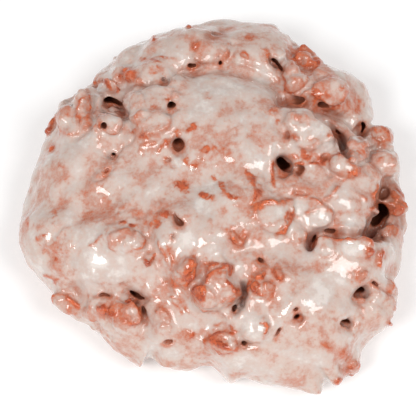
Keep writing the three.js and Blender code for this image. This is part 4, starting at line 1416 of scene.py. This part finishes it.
    def thin_underside(self, piece, sizes):
        """Thins the mesh under the fritter, so that the crust on top can stay fine."""
        mesh = piece.data
        mesh.calc_loop_triangles()
        count = len(mesh.loop_triangles)
        under = np.maximum(LEAST_THINNING, 1 - facing_photo(vertex_normals(mesh)))
        under = np.round(under, 1)
        group = piece.vertex_groups.new(name="underside")
        for weight in np.unique(under):
            group.add(np.flatnonzero(under == weight).tolist(), float(weight), "REPLACE")
        modifier = piece.modifiers.new("Thin", "DECIMATE")
        modifier.ratio = min(1, sizes.triangles / count)
        modifier.vertex_group = group.name
        bake_modifiers(piece)
        piece.vertex_groups.clear()

    def drop_loose_bits(self, piece):
        """Deletes stray bits that hang free of the crust."""
        form = bmesh.new()
        form.from_mesh(piece.data)
        waiting = set(form.verts)
        bits = []
        while waiting:
            bit = [waiting.pop()]
            for vert in bit:
                linked = {edge.other_vert(vert) for edge in vert.link_edges} & waiting
                waiting -= linked
                bit.extend(linked)
            bits.append(bit)
        bits.sort(key=len)
        loose = [vert for bit in bits[:-1] for vert in bit]
        bmesh.ops.delete(form, geom=loose, context="VERTS")
        form.to_mesh(piece.data)
        form.free()


def glazed_crust_material(glaze):
    """Fried crust under sugar glaze: red-brown where bare, pink under a film, milky in pools, with
    painted shade in folds, dips and holes and a painted sheen on the thickest pools.
    """
    material = bpy.data.materials.new("glazed_crust")
    material.use_nodes = True
    nodes = material.node_tree.nodes
    links = material.node_tree.links
    shader = nodes["Principled BSDF"]
    coords = nodes.new("ShaderNodeTexCoord")

    def add_noise(scale, detail, roughness=0.6):
        node = nodes.new("ShaderNodeTexNoise")
        node.inputs["Scale"].default_value = scale
        node.inputs["Detail"].default_value = detail
        node.inputs["Roughness"].default_value = roughness
        links.new(coords.outputs["Object"], node.inputs["Vector"])
        return node.outputs["Fac"]

    def add_math(operation, first, second):
        node = nodes.new("ShaderNodeMath")
        node.operation = operation
        for socket, value in zip(node.inputs, (first, second)):
            if isinstance(value, (int, float)):
                socket.default_value = value
            else:
                links.new(value, socket)
        return node.outputs["Value"]

    def add_mix(share, first, second):
        node = nodes.new("ShaderNodeMix")
        node.data_type = "RGBA"
        links.new(share, node.inputs["Factor"])
        for socket, value in zip((node.inputs["A"], node.inputs["B"]), (first, second)):
            if isinstance(value, bpy.types.NodeSocket):
                links.new(value, socket)
            else:
                socket.default_value = (*value, 1)
        return node.outputs["Result"]

    def add_range(value, low, high, first=0, last=1):
        node = nodes.new("ShaderNodeMapRange")
        links.new(value, node.inputs["Value"])
        node.inputs["From Min"].default_value = low
        node.inputs["From Max"].default_value = high
        node.inputs["To Min"].default_value = first
        node.inputs["To Max"].default_value = last
        return node.outputs["Result"]

    def read(name):
        node = nodes.new("ShaderNodeAttribute")
        node.attribute_name = name
        return node.outputs["Fac"]

    # Glaze cover, broken up by fine speckle and broader patches
    speckle = add_math("SUBTRACT", add_noise(SPECKLE_SCALE, 4, 0.7), 0.5)
    patches = add_math("SUBTRACT", add_noise(PATCH_SCALE, 4), 0.5)
    varied = add_math("ADD", read("cover"), add_math("MULTIPLY", speckle, 0.8))
    varied = add_math("ADD", varied, add_math("MULTIPLY", patches, 0.5))

    # Crust: orange flecks, with burnt veins, and painted shade darkening it in dips
    flecks = add_range(add_noise(FLECK_SCALE, 5, 0.6), 0.4, 0.64)
    crust = add_mix(flecks, tuple(glaze.crust_color), tuple(glaze.hot_crust_color))
    grit = add_noise(GRIT_SCALE, 4, 0.7)
    burnt_and_shaded = add_math("MAXIMUM", add_range(grit, 0.49, 0.64), add_math("MULTIPLY", read("dip"), 0.85))
    crust = add_mix(add_math("MULTIPLY", burnt_and_shaded, 0.77), crust, tuple(glaze.deep_crust_and_shade_color))

    # Glaze: from a trace over crust to thick pools, with a painted sheen on the thickest
    ramp = nodes.new("ShaderNodeValToRGB")
    links.new(varied, ramp.inputs["Fac"])
    stops = (
        (0.16, glaze.amber_color),
        (0.38, glaze.film_color),
        (0.66, glaze.veil_color),
        (0.95, glaze.milk_color),
    )
    for _ in stops[2:]:
        ramp.color_ramp.elements.new(0.5)
    for element, (position, stop) in zip(ramp.color_ramp.elements, stops):
        element.position = position
        element.color = (*stop, 1)
    # Painted sheen: the thickest cover turns to a paler cream
    pools = add_range(varied, 0.95, 1.3)
    coated = add_mix(pools, ramp.outputs["Color"], tuple(glaze.painted_sheen_color))
    colour = add_mix(add_range(varied, -0.05, 0.2), crust, coated)
    # Painted shade: dark brown in folds, creases and shady places, then the darker crust of air holes
    folds = add_math("MULTIPLY", read("hollow"), 0.88)
    colour = add_mix(folds, colour, tuple(glaze.fold_shade_color))
    colour = add_mix(read("cave"), colour, tuple(glaze.cave_crust_and_shade_color))
    links.new(colour, shader.inputs["Base Color"])

    # Wet shine, dull in folds and holes
    links.new(add_range(varied, 0, 1, 0.5, 0.35), shader.inputs["Roughness"])
    sunken = add_math("MAXIMUM", read("cave"), add_math("MULTIPLY", read("hollow"), 0.6))
    links.new(add_range(sunken, 0, 1, 0.95, 0.1), shader.inputs["Coat Weight"])
    shader.inputs["Specular IOR Level"].default_value = 0.15
    shader.inputs["Coat Roughness"].default_value = 0.05
    shader.inputs["Subsurface Weight"].default_value = 0.12
    shader.inputs["Subsurface Radius"].default_value = (1.0, 0.45, 0.3)
    shader.inputs["Subsurface Scale"].default_value = 1.2 * MM

    # Gritty crust, nearly smooth glaze
    bump = nodes.new("ShaderNodeBump")
    bump.inputs["Strength"].default_value = 0.6
    bump.inputs["Distance"].default_value = 0.5 * MM
    grit_height = add_math("MULTIPLY", grit, add_range(varied, -0.1, 0.5, 0.75, 0.06))
    links.new(grit_height, bump.inputs["Height"])
    links.new(bump.outputs["Normal"], shader.inputs["Normal"])
    return material


class FRITTER_OT_stage(bpy.types.Operator):
    """Set the stage: a pale floor, soft studio light and the photo's camera"""

    bl_idname = "fritter.stage"
    bl_label = "Stage"

    def execute(self, context):
        stage = context.scene.fritter_stage
        self.lay_floor(stage)
        self.light_sky(context, stage)
        self.hang("key", stage.key_place, stage.key_size, stage.key_power)
        self.hang("fill", stage.fill_place, stage.fill_size, stage.fill_power)
        self.place_camera(context)
        return {"FINISHED"}

    def lay_floor(self, stage):
        """A broad pale floor under the fritter."""
        form = bmesh.new()
        bmesh.ops.create_grid(form, x_segments=1, y_segments=1, size=stage.floor_size)
        floor = new_piece("floor")
        form.to_mesh(floor.data)
        form.free()
        material = bpy.data.materials.new("pale_floor")
        material.use_nodes = True
        shader = material.node_tree.nodes["Principled BSDF"]
        shader.inputs["Base Color"].default_value = (*stage.floor_color, 1)
        shader.inputs["Roughness"].default_value = 0.9
        shader.inputs["Specular IOR Level"].default_value = 0
        shader.inputs["Emission Color"].default_value = WHITE
        shader.inputs["Emission Strength"].default_value = stage.floor_glow
        floor.data.materials.append(material)

    def light_sky(self, context, stage):
        """An even white sky, shown without a film curve."""
        world = bpy.data.worlds.new("studio")
        world.use_nodes = True
        background = world.node_tree.nodes["Background"]
        background.inputs["Color"].default_value = WHITE
        background.inputs["Strength"].default_value = stage.sky_strength
        context.scene.world = world
        context.scene.view_settings.view_transform = "Standard"

    def hang(self, name, place, size, power):
        """A square soft light that faces the fritter."""
        light = bpy.data.lights.new(name, "AREA")
        light.size = size
        light.energy = power
        lamp = bpy.data.objects.new(name, light)
        lamp.location = place
        lamp.rotation_euler = (CAMERA_AIM - Vector(place)).to_track_quat("-Z", "Y").to_euler()
        bpy.context.scene.collection.objects.link(lamp)

    def place_camera(self, context):
        """The photo's camera."""
        data = bpy.data.cameras.new("camera")
        data.sensor_width = SENSOR_MILLIMETRES
        data.lens = SENSOR_MILLIMETRES * CAMERA_DISTANCE / FRAME_WIDTH
        camera = bpy.data.objects.new("camera", data)
        camera.location = CAMERA_PLACE
        camera.rotation_euler = VIEW_AHEAD.to_track_quat("-Z", "Y").to_euler()
        context.scene.collection.objects.link(camera)
        context.scene.camera = camera


class FRITTER_PT_maker(bpy.types.Panel):
    """Lists what makes the fritter and its stage"""

    bl_idname = "FRITTER_PT_maker"
    bl_label = "Glazed Fritter"
    bl_space_type = "VIEW_3D"
    bl_region_type = "UI"
    bl_category = "Fritter"

    def draw(self, context):
        self.layout.operator(FRITTER_OT_glazed_fritter.bl_idname)
        self.layout.operator(FRITTER_OT_stage.bl_idname)


CLASSES = (
    FritterDough,
    FritterGlaze,
    FritterStage,
    FRITTER_OT_glazed_fritter,
    FRITTER_OT_stage,
    FRITTER_PT_maker,
)


def register():
    for cls in CLASSES:
        bpy.utils.register_class(cls)
    bpy.types.Scene.fritter_dough = bpy.props.PointerProperty(type=FritterDough)
    bpy.types.Scene.fritter_glaze = bpy.props.PointerProperty(type=FritterGlaze)
    bpy.types.Scene.fritter_stage = bpy.props.PointerProperty(type=FritterStage)


def unregister():
    del bpy.types.Scene.fritter_dough
    del bpy.types.Scene.fritter_glaze
    del bpy.types.Scene.fritter_stage
    for cls in reversed(CLASSES):
        bpy.utils.unregister_class(cls)


def main():
    register()
    bpy.ops.fritter.glazed_fritter()
    bpy.ops.fritter.stage()


if __name__ == "__main__":
    main()
